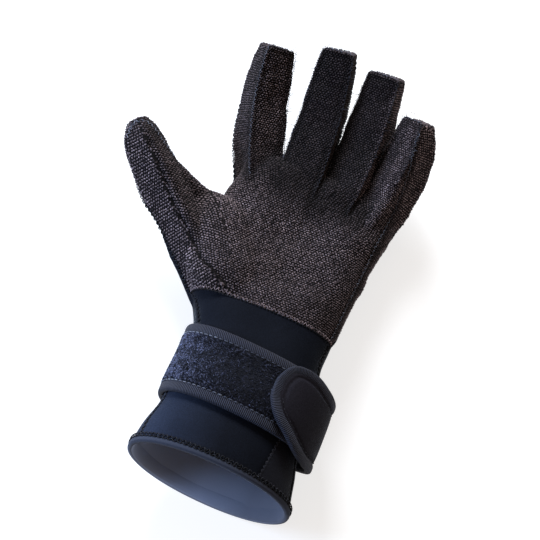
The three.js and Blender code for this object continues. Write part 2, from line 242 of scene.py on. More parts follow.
# Height of the side seam at the thumb, the palm's thumb edge and the far edge
SEAM = table(
    "y thumb near far",
    (-20, 54, 54, 50),
    (12, 52, 52, 49),
    (32, 47, 47, 48),
    (60, 44, 44, 45),
    (91, 42.5, 42.5, 42),
    (99, 38.5, 38.5, 41),
    (106, 34, 34, 40),
    (112, 31, 28, 34),
    (126, 30.5, 30.5, 17),
    (140, 33, 31, 14),
    (150, 36, 29.5, 12),
    (165, 37.5, 23, 11),
    (180, 38.5, 18, 11),
    (200, 46, 12, 11),
    (225, 46, 13, 14),
    (250, 44, 20, 21),
    (275, 44, 34, 34),
    (310, 62, 56, 56),
)
SEAM_X = dict(thumb=-122, near=-60, far=55)

# Places where the glove is flatter or fuller than its lofts: inwards where deep is above zero, on faces
# that look along facing
LEFT = np.array([-1.0, 0, 0])
UP = np.array([0, 0, 1.0])
TRIMS = [
    dict(place=(-78, 139, 17), facing=LEFT, wide=17, deep=5.0),
    dict(place=(-47, 196, 18), facing=LEFT, wide=12, deep=2.0),
    dict(place=(-27, 205, 20), facing=LEFT, wide=9, deep=1.4),
    dict(place=(-58, 203, 20), facing=LEFT, wide=13, deep=2.0),
    dict(place=(-12, 213, 31), facing=UP, wide=10, deep=-1.3),
    dict(place=(13, 212, 31), facing=UP, wide=10, deep=-1.3),
]

# Painted shade of the knit: spots where it is painted darker, how much painted shade darkens it
# elsewhere, and between which places that begins
PAINTED_SHADE_SPOTS = [dict(place=(-34, 214, 31), wide=11, deep=0.3), dict(place=(-45, 204, 28), wide=9, deep=0.12)]
SHADE_BY_FINGERS = 0.3
SHADE_AT_FAR_SIDE = 0.13
SHADE_AT_HEEL = 0.05
SHADE_BY_THUMB_STRIP = 0.33
SHADE_BY_LITTLE_STRIP = 0.42
SHADE_BY_RIDGE = 0.35
SHADE_BY_SEAM = 0.5
DARKEST_SHADE = 0.42
FINGER_ROOTS_Y = (172, 204)
PALM_TOP_Y = (150, 190)
HEEL_Y = (118, 150)
FAR_SIDE_X = (0, 36)

# How far from its middle line a digit's skin lies, and where painted light or shade on its front starts
DIGIT_REACH = 26
PAINTED_LIGHT_FRONT_START = 8
PAINTED_SHADE_FRONT_START = -16

# Gusset on the little-finger side of the cuff
GUSSET = dict(edge_x=27.5, slope=0.13, end_y=74)

# Seams on the palm in pixels of the photograph: the thumb's strip and tip, and the little finger's strip
THUMB_STRIP_PX = [
    (138, 120), (148, 142), (156, 160), (173, 203), (185, 227), (202, 260), (215, 273), (234, 294)]
THUMB_TIP_PX = [
    (127, 138), (129, 129), (134, 122), (141, 119.5), (149, 122), (157, 131), (165, 144), (174, 156)]
LITTLE_STRIP_PX = [
    (418, 132), (412, 160), (405, 185), (395, 210), (380, 240), (365, 270), (350, 300), (330, 342)]
STRIP_STEP = 1.4
LITTLE_STRIP_STEP = 0.3
STRIP_FADE = 14.0
STRIP_GROOVE = 0.55
STRAYS_PER_FINGER = 24
RIDGE_START = 8.0
LITTLE_RIDGE_START = 48.0
RIDGE_HEIGHT = 0.95
RIDGE_WIDTH = 1.1
RIDGE_GROOVE = 0.35
RIDGE_GROOVE_AWAY = 2.6
FAR_OFF = -99.0

# Tab of the strap: angle round the forearm with the ends of each cross line
TAB = table(
    "angle low high reach",
    (-90, 39, 87, 35),
    (-45, 35, 82, 35),
    (0, 28.5, 75, 35),
    (30, 25.5, 76.5, 38),
    (46, 28.5, 79, 39.5),
    (56, 33.5, 79.5, 39.5),
    (67, 39.5, 78, 39),
    (73, 45.5, 73.5, 38.5),
    (77.5, 53, 65, 38),
)


# Helpers

def share(low, high, at):
    """How far a value lies on its way from low to high, between 0 and 1."""
    return np.clip((np.asarray(at, float) - low) / (high - low), 0, 1)


def smoothstep(low, high, at):
    t = share(low, high, at)
    return t * t * (3 - 2 * t)


def plateau(rise, level, edge, fall, at):
    """One between two places, with soft steps up to it and down from it."""
    return smoothstep(rise, level, at) * (1 - smoothstep(edge, fall, at))


def bell(away, wide):
    """One at the middle, falling off over a width."""
    return np.exp(-(away / wide) ** 2)


def circle(steps):
    """Angles round a full turn."""
    return np.linspace(0, 2 * math.pi, steps, endpoint=False)


def unit(vectors):
    """The same directions at length one."""
    return vectors / np.maximum(np.linalg.norm(vectors, axis=-1, keepdims=True), 1e-9)


def distances(points, place):
    return np.linalg.norm(points - place, axis=1)


def tree_of(places):
    """Search tree for the nearest of some places."""
    tree = kdtree.KDTree(len(places))
    for k, place in enumerate(places.tolist()):
        tree.insert(place, k)
    tree.balance()
    return tree


def run_along(line):
    """Length of a line up to each of its points."""
    return np.concatenate([[0], np.cumsum(np.linalg.norm(np.diff(line, axis=0), axis=1))])


def interpolated(at, keys, rows):
    """Rows between the given ones, each of which belongs to a key."""
    return np.stack([np.interp(at, keys, part) for part in rows.T], -1)


def smooth_line(line, passes=6):
    line = line.copy()
    for _ in range(passes):
        line[1:-1] = line[1:-1] * 0.5 + (line[:-2] + line[2:]) * 0.25
    return line


# Curves and sections

def column(rows, key, name, at):
    """Smooth values of one column of a table at places along its key column."""
    keys = np.array([row[key] for row in rows], float)
    values = np.array([row[name] for row in rows], float)
    i = np.clip(np.searchsorted(keys, at) - 1, 0, len(keys) - 2)
    step = keys[i + 1] - keys[i]
    t = share(keys[i], keys[i + 1], at)
    before = np.maximum(np.arange(len(keys)) - 1, 0)
    after = np.minimum(np.arange(len(keys)) + 1, len(keys) - 1)
    slope = (values[after] - values[before]) / (keys[after] - keys[before])
    rise = t * (1 - t) ** 2 * slope[i] * step
    fall = t * t * (t - 1) * slope[i + 1] * step
    return values[i] + (values[i + 1] - values[i]) * smoothstep(0, 1, t) + rise + fall


def power(value, exponent):
    return np.sign(value) * np.abs(value) ** exponent


def section_point(rows, angle, y, grow=0.0):
    """Points at angles round the hand or the thumb's pad."""
    angle, y = np.broadcast_arrays(np.asarray(angle, float), np.asarray(y, float))
    left, right, top, bottom, square = (
        column(rows, "y", name, y) for name in ("left", "right", "top", "bottom", "square"))
    x = (left + right) / 2 + ((right - left) / 2 + grow) * power(np.cos(angle), 2 / square)
    z = (top + bottom) / 2 + ((top - bottom) / 2 + grow) * power(np.sin(angle), 2 / square)
    return np.stack([x, y, z], -1)


def hand_point(angle, y, grow=0.0):
    """The same on the hand, with the hollow of the palm, held above the floor."""
    p = section_point(HAND, angle, y, grow)
    away = ((p[..., 0] - PALM_CUP["x"]) / PALM_CUP["wide"]) ** 2
    away = away + ((p[..., 1] - PALM_CUP["y"]) / PALM_CUP["long"]) ** 2
    upper = np.maximum(np.sin(np.broadcast_to(angle, away.shape)), 0)
    p[..., 2] = np.maximum(p[..., 2] - PALM_CUP["deep"] * upper * np.exp(-away), 0)
    return p


def rounded_section(left, right, half, corner, steps=5):
    """Rounded cross line as pairs across and up."""
    centre = (right - left) / 2
    wide = (right + left) / 2
    r = max(min(corner, wide * 0.9, half * 0.9), 0.6)
    points = []
    for sx, sz, start in ((1, 1, 0), (-1, 1, 90), (-1, -1, 180), (1, -1, 270)):
        for a in np.radians(start + np.linspace(0, 90, steps)):
            points.append((centre + sx * (wide - r) + r * math.cos(a), sz * (half - r) + r * math.sin(a)))
    return np.array(points)


def turn(vector, axis, angle):
    """A vector turned about an axis."""
    across = np.cross(axis, vector)
    kept = axis * axis.dot(vector) * (1 - math.cos(angle))
    return vector * math.cos(angle) + across * math.sin(angle) + kept


def digit_path(digit):
    """Centre line of a digit, one point a millimetre, with its side and up directions."""
    heading = math.radians(digit["heading"])
    lift = math.radians(digit["lift"])
    level = math.cos(lift)
    along = np.array([math.sin(heading) * level, math.cos(heading) * level, math.sin(lift)])
    side = np.array([math.cos(heading), -math.sin(heading), 0.0])
    side = turn(side, along, math.radians(digit["roll"]))
    bend = math.radians(digit["curl"]) / (digit["length"] - CURL_START)
    at = np.array(digit["base"], float)
    points, ups = [], []
    for s in range(int(digit["length"]) + 2):
        points.append(at)
        ups.append(np.cross(side, along))
        if s >= CURL_START:
            along = turn(along, side, bend)
        at = at + along
    return np.array(points), side, np.array(ups)


def digit_sizes(digit, s):
    """Reach of a digit to its two sides and half its thickness, at places along it."""
    return [column(digit["sections"], "s", name, s) for name in ("left", "right", "half")]


def along_digit(digit, s):
    """Middle line of a digit at places along it, with its side and up directions."""
    line, side, ups = digit_path(digit)
    steps = np.arange(len(line))
    return interpolated(s, steps, line), side, interpolated(s, steps, ups)


# Closed solids, and the skin that is remeshed from them

def loft(rings):
    """Closed solid through rings of points: its points and its faces."""
    rings = np.asarray(rings)
    count, around = rings.shape[:2]
    faces = ring_faces(count, around).tolist()
    faces.append(list(range(around))[::-1])
    faces.append(list(range((count - 1) * around, count * around)))
    return rings.reshape(-1, 3), faces


def hand_solid():
    rows = [row["y"] for row in HAND]
    stations = np.interp(np.linspace(0, len(rows) - 1, 6 * len(rows)), range(len(rows)), rows)
    return loft([hand_point(circle(72), y) for y in stations])


def thenar_solid():
    rows = np.linspace(THENAR[0]["y"], THENAR[-1]["y"], 30)
    return loft([section_point(THENAR, circle(48), y) for y in rows])


def digit_solid(digit):
    s = np.linspace(0, digit["length"], 44)
    middle, side, up = along_digit(digit, s)
    rings = []
    for at, rise, left, right, half in zip(middle, up, *digit_sizes(digit, s)):
        line = rounded_section(left, right, half, digit["corner"])
        ring = at + line[:, :1] * side + line[:, 1:] * rise
        ring[:, 2] = np.maximum(ring[:, 2], 0)
        rings.append(ring)
    return loft(rings)


def web_solid():
    across = np.linspace(WEB[0]["x"], WEB[-1]["x"], 24)
    rows = zip(across, *(column(WEB, "x", name, across) for name in ("free", "hidden", "mid", "thick")))
    rings = []
    for x, free, hidden, mid, thick in rows:
        half = (free - hidden) / 2
        line = rounded_section(half, half, thick / 2, 5)
        y = (free + hidden) / 2 + line[:, 0]
        rings.append(np.stack([np.full(len(line), x), y, mid + line[:, 1]], -1))
    return loft(rings)


def remeshed(solids, voxel):
    """One skin round all the solids: its points and its four-sided faces."""
    points, faces, start = [], [], 0
    for solid_points, solid_faces in solids:
        points.append(solid_points)
        faces += [[start + k for k in face] for face in solid_faces]
        start += len(solid_points)
    mesh = bpy.data.meshes.new("skin")
    mesh.from_pydata(np.concatenate(points).tolist(), [], faces)
    body = add_object("skin", mesh)
    remesh = body.modifiers.new("Remesh", "REMESH")
    remesh.mode = "VOXEL"
    remesh.voxel_size = voxel
    result = body.evaluated_get(bpy.context.evaluated_depsgraph_get()).to_mesh()
    skin_points = np.empty(len(result.vertices) * 3)
    result.vertices.foreach_get("co", skin_points)
    corners = np.empty(len(result.loops), int)
    result.loops.foreach_get("vertex_index", corners)
    bpy.data.objects.remove(body)
    bpy.data.meshes.remove(mesh)
    return skin_points.reshape(-1, 3), corners.reshape(-1, 4)


def face_edges(faces):
    return np.concatenate([faces[:, [k, (k + 1) % 4]] for k in range(4)])


def smoothed(points, faces, passes):
    edges = np.unique(np.sort(face_edges(faces), 1), axis=0)
    a = np.concatenate([edges[:, 0], edges[:, 1]])
    b = np.concatenate([edges[:, 1], edges[:, 0]])
    count = np.bincount(a, minlength=len(points))[:, None]
    for _ in range(passes):
        mean = np.stack([np.bincount(a, points[b, k], len(points)) for k in range(3)], -1) / count
        points = points + (mean - points) * SMOOTH_SHARE
    return points


def vertex_normals(points, faces):
    cross = np.cross(points[faces[:, 2]] - points[faces[:, 0]], points[faces[:, 3]] - points[faces[:, 1]])
    normals = np.zeros_like(points)
    for k in range(faces.shape[1]):
        for axis in range(3):
            normals[:, axis] += np.bincount(faces[:, k], cross[:, axis], len(points))
    return unit(normals)


def ripple(points, wavelength, seed, waves=7):
    """Smooth waves between about -1 and 1, the same on every run."""
    dice = np.random.default_rng(seed)
    total = np.zeros(len(points))
    for _ in range(waves):
        direction = dice.normal(size=3)
        direction *= 2 * math.pi / (wavelength * dice.uniform(0.7, 1.5)) / np.linalg.norm(direction)
        total += np.sin(points @ direction + dice.uniform(0, 2 * math.pi))
    return total / (waves / 2)


# Lines between the panels, each zero on its line

def seam_side(p):
    """Height of points above the side seam."""
    x, y = p[:, 0], p[:, 1]
    heights = {name: np.array([row[name] for row in SEAM], float) for name in SEAM[0]}
    thumb, near, far = (np.interp(y, heights["y"], heights[name]) for name in ("thumb", "near", "far"))
    outer = thumb + (near - thumb) * share(SEAM_X["thumb"], SEAM_X["near"], x)
    inner = near + (far - near) * share(SEAM_X["near"], SEAM_X["far"], x)
    return p[:, 2] - np.where(x < SEAM_X["near"], outer, inner)


def mouth_line(p):
    """How far the mouth's edge lies along the forearm, round the glove."""
    return MOUTH_SLANT * p[:, 0] + MOUTH_LEAN * (p[:, 2] - MOUTH_TOP_Z)


def mouth_side(p):
    return p[:, 1] - mouth_line(p) - HEM_WIDTH


def wrist_side(p):
    return p[:, 1] - PALM_EDGE_Y


def gusset_side(p):
    return p[:, 0] - GUSSET["edge_x"] - GUSSET["slope"] * p[:, 1]


def gusset_end(p):
    return GUSSET["end_y"] - p[:, 1]


HEM, BACK, PALM, CUFF, SIDE = range(5)
LINES = {
    (HEM, BACK): mouth_side, (HEM, CUFF): mouth_side, (HEM, SIDE): mouth_side,
    (BACK, PALM): seam_side, (BACK, CUFF): seam_side, (BACK, SIDE): seam_side,
    (PALM, CUFF): wrist_side, (CUFF, SIDE): gusset_side,
}


def panel_of(p):
    panel = np.where(wrist_side(p) > 0, PALM, CUFF)
    panel = np.where((panel == CUFF) & (gusset_side(p) > 0) & (gusset_end(p) > 0), SIDE, panel)
    panel = np.where(seam_side(p) < 0, BACK, panel)
    return np.where(mouth_side(p) < 0, HEM, panel)


def moved_to_line(points, normals, chosen, line):
    """Chosen points slid over the skin until the line's function is zero there."""
    small = 0.05
    for _ in range(3):
        p = points[chosen]
        n = normals[chosen]
        value = line(p)
        slope = np.stack([(line(p + small * np.eye(3)[k]) - value) / small for k in range(3)], -1)
        slope -= n * (slope * n).sum(1, keepdims=True)
        step = slope * (value / np.maximum((slope ** 2).sum(1), 0.05))[:, None]
        length = np.linalg.norm(step, axis=1, keepdims=True)
        points[chosen] = p - step * np.minimum(1, 1.0 / np.maximum(length, 1e-9))


def chains(edges):
    """Runs of points along a set of edges, each closed or open."""
    near = {}
    for a, b in edges.tolist():
        near.setdefault(a, []).append(b)
        near.setdefault(b, []).append(a)
    starts = [v for v in near if len(near[v]) == 1] + list(near)
    used = set()
    runs = []
    for start in starts:
        if start in used:
            continue
        run = [start]
        used.add(start)
        while ahead := [v for v in near[run[-1]] if v not in used]:
            run.append(ahead[0])
            used.add(ahead[0])
        closed = len(run) > 8 and run[0] in near[run[-1]]
        if len(run) > 3:
            runs.append(np.array(run + run[:1] if closed else run))
    return runs


def place_on_digit(points, digit):
    """How far along a digit each point lies, across it, above its middle, and from its middle line."""
    line, side, ups = digit_path(digit)
    tree = tree_of(line)
    step, reach = map(np.array, zip(*(tree.find(p)[1:] for p in points.tolist())))
    offset = points - line[step]
    s = step + (offset * np.cross(ups[step], side)).sum(1)
    return s, offset @ side, (offset * ups[step]).sum(1), reach


def painted_knit_shade(points, normals):
    """Painted shade of the knit by the digits, and painted light or shade on their faces as they turn."""
    x, y = points[:, 0], points[:, 1]
    shade = 1 - SHADE_BY_FINGERS * smoothstep(*FINGER_ROOTS_Y, y)
    for patch in PAINTED_SHADE_SPOTS:
        shade -= patch["deep"] * bell(distances(points, patch["place"]), patch["wide"])
    shade -= SHADE_AT_FAR_SIDE * smoothstep(*FAR_SIDE_X, x) * (1 - smoothstep(*PALM_TOP_Y, y))
    shade -= SHADE_AT_HEEL * (1 - smoothstep(*HEEL_Y, y))
    for digit in DIGITS.values():
        s, _, high, reach = place_on_digit(points, digit)
        line, side, ups = digit_path(digit)
        up = ups[np.clip(s, 0, len(line) - 1).astype(int)]
        first = PAINTED_LIGHT_FRONT_START if digit["front"] > 1 else PAINTED_SHADE_FRONT_START
        on_digit = (reach < DIGIT_REACH) * smoothstep(first, first + 30, s)
        # Painted light or shade on each face of a digit, by which way it turns: front, near or far side
        facing = (normals * up).sum(1) * (high > 0), -normals @ side, normals @ side
        for name, turned in zip(("front", "near", "far"), facing):
            shade += (digit[name] - 1) * smoothstep(0.6, 0.85, turned) * on_digit
    return np.maximum(shade, DARKEST_SHADE)


def weave_coordinates(points, on_strip):
    """Where each point lies in the knit: across its columns and along its rows."""
    left, right, top = (column(HAND, "y", name, points[:, 1]) for name in ("left", "right", "top"))
    drop = np.maximum(top - WRAP_START - points[:, 2], 0)
    side = np.sign(points[:, 0] - (left + right) / 2)
    weave = np.stack([points[:, 0] + side * drop * WRAP_SHARE, points[:, 1]], -1)
    nearest = np.full(len(points), np.inf)
    for name, digit in DIGITS.items():
        s, across, high, reach = place_on_digit(points, digit)
        half = digit_sizes(digit, np.clip(s, 0, digit["length"]))[2]
        first, last = digit["turn"]
        middle_s = (first + last) / 2
        anchor = digit_path(digit)[0][int(middle_s)]
        drop = np.maximum(half - high, 0)
        tip = smoothstep(digit["length"] - 2.5, digit["length"] - 0.5, s)
        wrap = np.sign(across) * drop * (1 - tip)
        s = s + drop * tip
        own = np.stack([anchor[0] + across + wrap, anchor[1] + s - middle_s], -1)
        weight = digit["pull"] * smoothstep(first, last, s) * (reach < DIGIT_REACH) * (reach < nearest)
        weave = weave * (1 - weight[:, None]) + own * weight[:, None]
        nearest = np.where(weight > 0, reach, nearest)
        if name == "thumb":
            strip = np.stack([across + wrap, s * STRIP_ROW_STRETCH], -1)
            weave = np.where(on_strip[:, None], strip, weave)
    return weave


# The picture

def camera_axes():
    """Directions right and up in the picture and back to the camera, and the camera's place."""
    flat_right = np.array([1.0, 0, 0])
    flat_up = np.array([0, math.cos(CAMERA_TILT), math.sin(CAMERA_TILT)])
    back = np.array([0, -math.sin(CAMERA_TILT), math.cos(CAMERA_TILT)])
    right = flat_right * math.cos(CAMERA_ROLL) + flat_up * math.sin(CAMERA_ROLL)
    up = -flat_right * math.sin(CAMERA_ROLL) + flat_up * math.cos(CAMERA_ROLL)
    return right, up, back, np.array(CAMERA_TARGET) + back * CAMERA_DISTANCE


def picture_place(points):
    """Where points in millimetres fall in the picture, in pixels."""
    right, up, back, eye = camera_axes()
    away = to_frame(points) - eye
    scale = CAMERA_DISTANCE / METRES_PER_PIXEL / -(away @ back)
    half = PICTURE_SIDE / 2
    return np.stack([half + away @ right * scale, half - away @ up * scale], -1)


def seen_on_hand(points, normals, least):
    """Points of the hand that face the camera."""
    return (normals @ camera_axes()[2] > least) & (points[:, 1] > PALM_EDGE_Y - 2)


# Blender meshes

def to_frame(points):
    return (np.asarray(points) - (0, REST_Y, 0)) * MM


def add_object(name, data):
    thing = bpy.data.objects.new(name, data)
    bpy.context.scene.collection.objects.link(thing)
    return thing


def make_piece(name, points, faces, materials, slot, node=None, face_materials=None, **values):
    """A piece of the glove from points in millimetres; values are attributes at its points."""
    mesh = bpy.data.meshes.new(name)
    faces = faces if isinstance(faces, list) else faces.tolist()
    mesh.from_pydata(to_frame(points).reshape(-1, 3).tolist(), [], faces)
    for material in materials:
        mesh.materials.append(material)
    if face_materials is not None:
        mesh.polygons.foreach_set("material_index", np.asarray(face_materials, np.int32))
    mesh.polygons.foreach_set("use_smooth", np.full(len(mesh.polygons), True))
    for key, value in values.items():
        value = np.asarray(value, np.float32)
        if value.ndim == 1:
            mesh.attributes.new(key, "FLOAT", "POINT").data.foreach_set("value", value)
        else:
            vectors = np.pad(value, ((0, 0), (0, 3 - value.shape[1])))
            mesh.attributes.new(key, "FLOAT_VECTOR", "POINT").data.foreach_set("vector", vectors.ravel())
    mesh.update()
    piece = add_object(name, mesh)
    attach(piece, "root")
    if node:
        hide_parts(node)


def thick_panel(points, normals, faces, thick):
    """A sheet with inner face and edges: the points used, all points, faces, and 1 for faces inside."""
    used, faces = np.unique(faces, return_inverse=True)
    faces = faces.reshape(-1, 4)
    outer = points[used]
    inner = outer - normals[used] * thick
    inner[:, 2] = np.maximum(inner[:, 2], thick * INNER_FLOOR)
    count = len(used)
    edges = face_edges(faces).astype(np.int64)
    forward = edges[:, 0] * count + edges[:, 1]
    backward = edges[:, 1] * count + edges[:, 0]
    a, b = edges[~np.isin(forward, backward)].T
    rim = np.stack([b, a, a + count, b + count], -1)
    all_faces = np.concatenate([faces, faces[:, ::-1] + count, rim])
    inside = np.repeat([0, 1, 0], [len(faces), len(faces), len(rim)])
    return used, np.concatenate([outer, inner]), all_faces, inside


def ring_faces(count, around, closed_along=False):
    """Faces of a grid of points, count rows of around points each, closed across its rows."""
    rows = np.arange(count if closed_along else count - 1)
    i, j = (grid.ravel() for grid in np.meshgrid(rows, np.arange(around), indexing="ij"))
    up = (i + 1) % count
    side = (j + 1) % around
    return np.stack([i * around + j, i * around + side, up * around + side, up * around + j], -1)


# Materials

class Finish:
    """A material with one shader, and short calls for the nodes before it."""

    def __init__(self, name, **settings):
        self.material = bpy.data.materials.new(name)
        self.material.use_nodes = True
        self.tree = self.material.node_tree
        self.shader = self.tree.nodes["Principled BSDF"]
        for key, value in settings.items():
            self.put(self.shader.inputs[SHADER_INPUTS[key]], value)
        self.place = self.node("ShaderNodeTexCoord").outputs["Object"]

    def put(self, socket, value):
        """A link from another node, or a constant on the socket itself."""
        if isinstance(value, bpy.types.NodeSocket):
            self.tree.links.new(value, socket)
        else:
            socket.default_value = (*value, 1) if socket.type == "RGBA" else value

    def node(self, kind, inputs=None, **settings):
        node = self.tree.nodes.new(kind)
        for key, value in settings.items():
            setattr(node, key, value)
        for key, value in (inputs or {}).items():
            self.put(node.inputs[key], value)
        return node

    def math(self, operation, a, b=0.0, c=0.0):
        return self.node("ShaderNodeMath", {0: a, 1: b, 2: c}, operation=operation).outputs[0]

    def attribute(self, name, output="Fac"):
        return self.node("ShaderNodeAttribute", attribute_name=name).outputs[output]

    def split(self, vector):
        return self.node("ShaderNodeSeparateXYZ", {0: vector}).outputs

    def noise(self, scale, detail=2.0):
        inputs = dict(Vector=self.place, Scale=scale, Detail=detail)
        return self.node("ShaderNodeTexNoise", inputs).outputs["Fac"]

    def ramp(self, factor, *stops):
        """Colour of a value, between stops of a position and a colour."""
        node = self.node("ShaderNodeValToRGB", dict(Fac=factor))
        elements = node.color_ramp.elements
        elements[0].position = stops[0][0]
        elements[1].position = stops[-1][0]
        for position, _ in stops[1:-1]:
            elements.new(position)
        for element, (_, colour) in zip(elements, stops):
            element.color = (*colour, 1)
        return node.outputs["Color"]

    def times(self, a, b):
        """Two colours multiplied."""
        node = self.node("ShaderNodeMix", dict(Factor=1.0), data_type="RGBA", blend_type="MULTIPLY")
        for socket, value in zip([s for s in node.inputs if s.type == "RGBA"], (a, b)):
            self.put(socket, value)
        return [s for s in node.outputs if s.type == "RGBA"][0]

    def colour(self, value):
        self.put(self.shader.inputs["Base Color"], value)

    def bump(self, height, distance, strength=1.0):
        node = self.node("ShaderNodeBump", dict(Height=height, Distance=distance, Strength=strength))
        self.put(self.shader.inputs["Normal"], node.outputs["Normal"])


def neoprene(name, dark, light, painted_light=False):
    """Neoprene faced with fine nylon jersey, light where it is seen edge on."""
    finish = Finish(name, roughness=0.78, sheen=0.22, sheen_roughness=0.22, specular=0.03,
                    sheen_tint=(0.72, 0.84, 1.0))
    large = finish.noise(28, 3)
    grain = finish.noise(1900, 2)
    body = finish.ramp(large, (0.3, dark), (0.7, light))
    body = finish.times(body, finish.ramp(grain, (0.35, (0.62, 0.62, 0.62)), (0.7, (1.3, 1.3, 1.3))))
    # Painted light on the cuff's thumb side, and painted shade elsewhere
    if painted_light:
        body = finish.times(body, cuff_painted_light(finish))
    finish.colour(body)
    finish.bump(finish.math("MULTIPLY_ADD", large, 1.4, grain), 0.00035, 0.7)
    return finish.material


def cuff_painted_light(finish):
    """Painted light and shade on the navy neoprene: lighter at the thumb side of the cuff."""
    x, y, _ = finish.split(finish.place)
    across = finish.ramp(finish.math("DIVIDE", x, PAINTED_LIGHT_WIDTH), (0, BLACK), (1, WHITE))
    along = finish.math("MULTIPLY_ADD", y, 1 / PAINTED_LIGHT_LENGTH, PAINTED_LIGHT_START / PAINTED_LIGHT_LENGTH)
    both = finish.times(across, finish.ramp(along, (0, WHITE), (1, BLACK)))
    return finish.ramp(both, (0, (0.80, 0.77, 0.72)), (1, (2.4, 2.55, 2.6)))


def knit():
    """Ground of the palm's knit, dark between its loops."""
    finish = Finish("palm knit", roughness=0.9, sheen=0.02, specular=0.04)
    across, along, _ = finish.split(finish.attribute("weave", "Vector"))
    across = finish.math("MULTIPLY_ADD", finish.math("SUBTRACT", finish.noise(420), 0.5), 1.2, across)
    a = finish.math("COSINE", finish.math("MULTIPLY", across, math.pi / KNIT_COLUMN))
    b = finish.math("COSINE", finish.math("MULTIPLY", along, math.pi / KNIT_ROW))
    height = finish.math("MULTIPLY_ADD", finish.noise(2600, 3), 0.6, finish.math("MULTIPLY", a, b))
    colour = finish.ramp(finish.math("MULTIPLY", height, 0.5),
                         (0.0, KNIT_DARK), (0.3, KNIT_MIDDLE), (0.62, KNIT_LIGHT))
    patches = finish.ramp(finish.noise(34), (0.3, (0.8, 0.8, 0.8)), (0.7, (1.2, 1.16, 1.15)))
    # The attribute shade lightens or darkens the ground with painted light and shade
    finish.colour(finish.times(finish.times(colour, patches), finish.attribute("shade")))
    finish.bump(height, 0.0004)
    return finish.material


def yarn(name, dark, light):
    """Single yarns, each with its own shade from the attribute tint."""
    finish = Finish(name, roughness=0.85, sheen=0.03, specular=0.1)
    fibre = finish.noise(3200)
    uneven = finish.math("SUBTRACT", fibre, 0.5)
    level = finish.math("MULTIPLY_ADD", uneven, 0.35, finish.attribute("tint"))
    finish.colour(finish.ramp(level, (0, dark), (1, light)))
    finish.bump(fibre, 0.0002, 0.6)
    return finish.material


def ribbed(name, dark, light, pitch):
    """Woven edge binding with ribs across its run."""
    finish = Finish(name, roughness=0.7, sheen=0.03, specular=0.1)
    run = finish.split(finish.attribute("run", "Vector"))[0]
    wave = finish.math("SINE", finish.math("MULTIPLY", run, 2 * math.pi / pitch))
    height = finish.math("MULTIPLY", finish.math("ADD", wave, finish.noise(2300)), 0.5)
    finish.colour(finish.ramp(finish.math("ADD", height, 0.4), (0.2, dark), (0.85, light)))
    finish.bump(height, 0.0005)
    return finish.material


def lining():
    """Slate-blue face of the neoprene inside the glove, with painted shade on the little-finger side."""
    finish = Finish("slate lining", roughness=0.95, sheen=0.02, specular=0.08)
    cloth = finish.ramp(finish.noise(1700), (0.2, LINING_DARK), (0.8, LINING_LIGHT))
    side = finish.math("DIVIDE", finish.split(finish.place)[0], LINING_PAINTED_SHADE_X)
    # Painted shade, darker towards the little-finger side
    painted_shade = finish.ramp(side, (0, WHITE), (0.67, (0.44, 0.42, 0.41)), (1, (0.36, 0.34, 0.33)))
    finish.colour(finish.times(cloth, painted_shade))
    return finish.material


def mouth_rim():
    """Rim of the mouth: near the lining's colour at the lower lip, dark at the upper lip."""
    finish = Finish("mouth rim", roughness=0.95, sheen=0.02, specular=0.08)
    height = finish.math("DIVIDE", finish.split(finish.place)[2], MOUTH_HEIGHT)
    finish.colour(finish.ramp(height, (0.2, RIM_LIGHT), (0.6, RIM_DARK)))
    return finish.material


NAVY = neoprene("navy neoprene", (0.0043, 0.0056, 0.0100), (0.0066, 0.0084, 0.0146), painted_light=True)
BLACK_NAVY = neoprene("gusset neoprene", (0.0088, 0.0092, 0.0125), (0.0122, 0.0128, 0.0172))
TAB_FACE = neoprene("tab neoprene", (0.0108, 0.0100, 0.0138), (0.0150, 0.0140, 0.0190))
KNIT = knit()
LOOPS = yarn("knit loops", (0.006, 0.005, 0.0055), (0.35, 0.272, 0.286))
THREAD = yarn("dark thread", (0.006, 0.006, 0.008), (0.035, 0.036, 0.046))
LIGHT_THREAD = yarn("light thread", (0.05, 0.055, 0.075), (0.26, 0.28, 0.34))
PILE = yarn("loop pile", (0.0016, 0.0020, 0.0042), (0.22, 0.245, 0.40))
BINDING = ribbed("edge binding", (0.0018, 0.0022, 0.0036), (0.028, 0.031, 0.049), 1.1)
LINING = lining()
RIM = mouth_rim()


# Skin of the glove

def build_skin():
    """Points, faces and panels of the skin, with its panels' borders on their lines."""
    solids = [hand_solid(), thenar_solid(), web_solid(), *(digit_solid(d) for d in DIGITS.values())]
    points, faces = remeshed(solids, VOXEL)
    points = smoothed(points, faces, SMOOTH_PASSES)
    normals = vertex_normals(points, faces)
    for trim in TRIMS:
        strength = trim["deep"] * bell(distances(points, trim["place"]), trim["wide"])
        strength = strength * np.maximum(normals @ trim["facing"], 0)
        points = points - normals * strength[:, None]
    panel = panel_of(points[faces].mean(1))
    touching = [np.unique(faces[panel == k]) for k in range(5)]
    for (a, b), line in LINES.items():
        shared = np.intersect1d(touching[a], touching[b])
        if len(shared):
            moved_to_line(points, normals, shared, line)
    return points, faces, panel


def distance_to(points, places):
    """Distance from each point to the nearest of some places."""
    tree = tree_of(places)
    return np.array([tree.find(p)[2] for p in points.tolist()])


def border_between(faces, panel, first, others):
    """Edges of the skin that lie between one panel and some others."""
    edges = np.sort(face_edges(faces), 1).astype(np.int64)
    owner = np.tile(panel, 4)
    count = edges.max() + 1
    keys = edges[:, 0] * count + edges[:, 1]
    both = np.intersect1d(keys[owner == first], keys[np.isin(owner, others)])
    return np.stack([both // count, both % count], -1)


def even_line(corners, spacing):
    """Even places along a line through its corners in the picture."""
    corners = np.array(corners, float)
    run = run_along(corners)
    return interpolated(np.arange(0, run[-1], spacing), run, corners)


def flat_places(spots):
    """Places in the picture as points, so that a search tree can hold them."""
    return np.pad(spots, ((0, 0), (0, 1)))


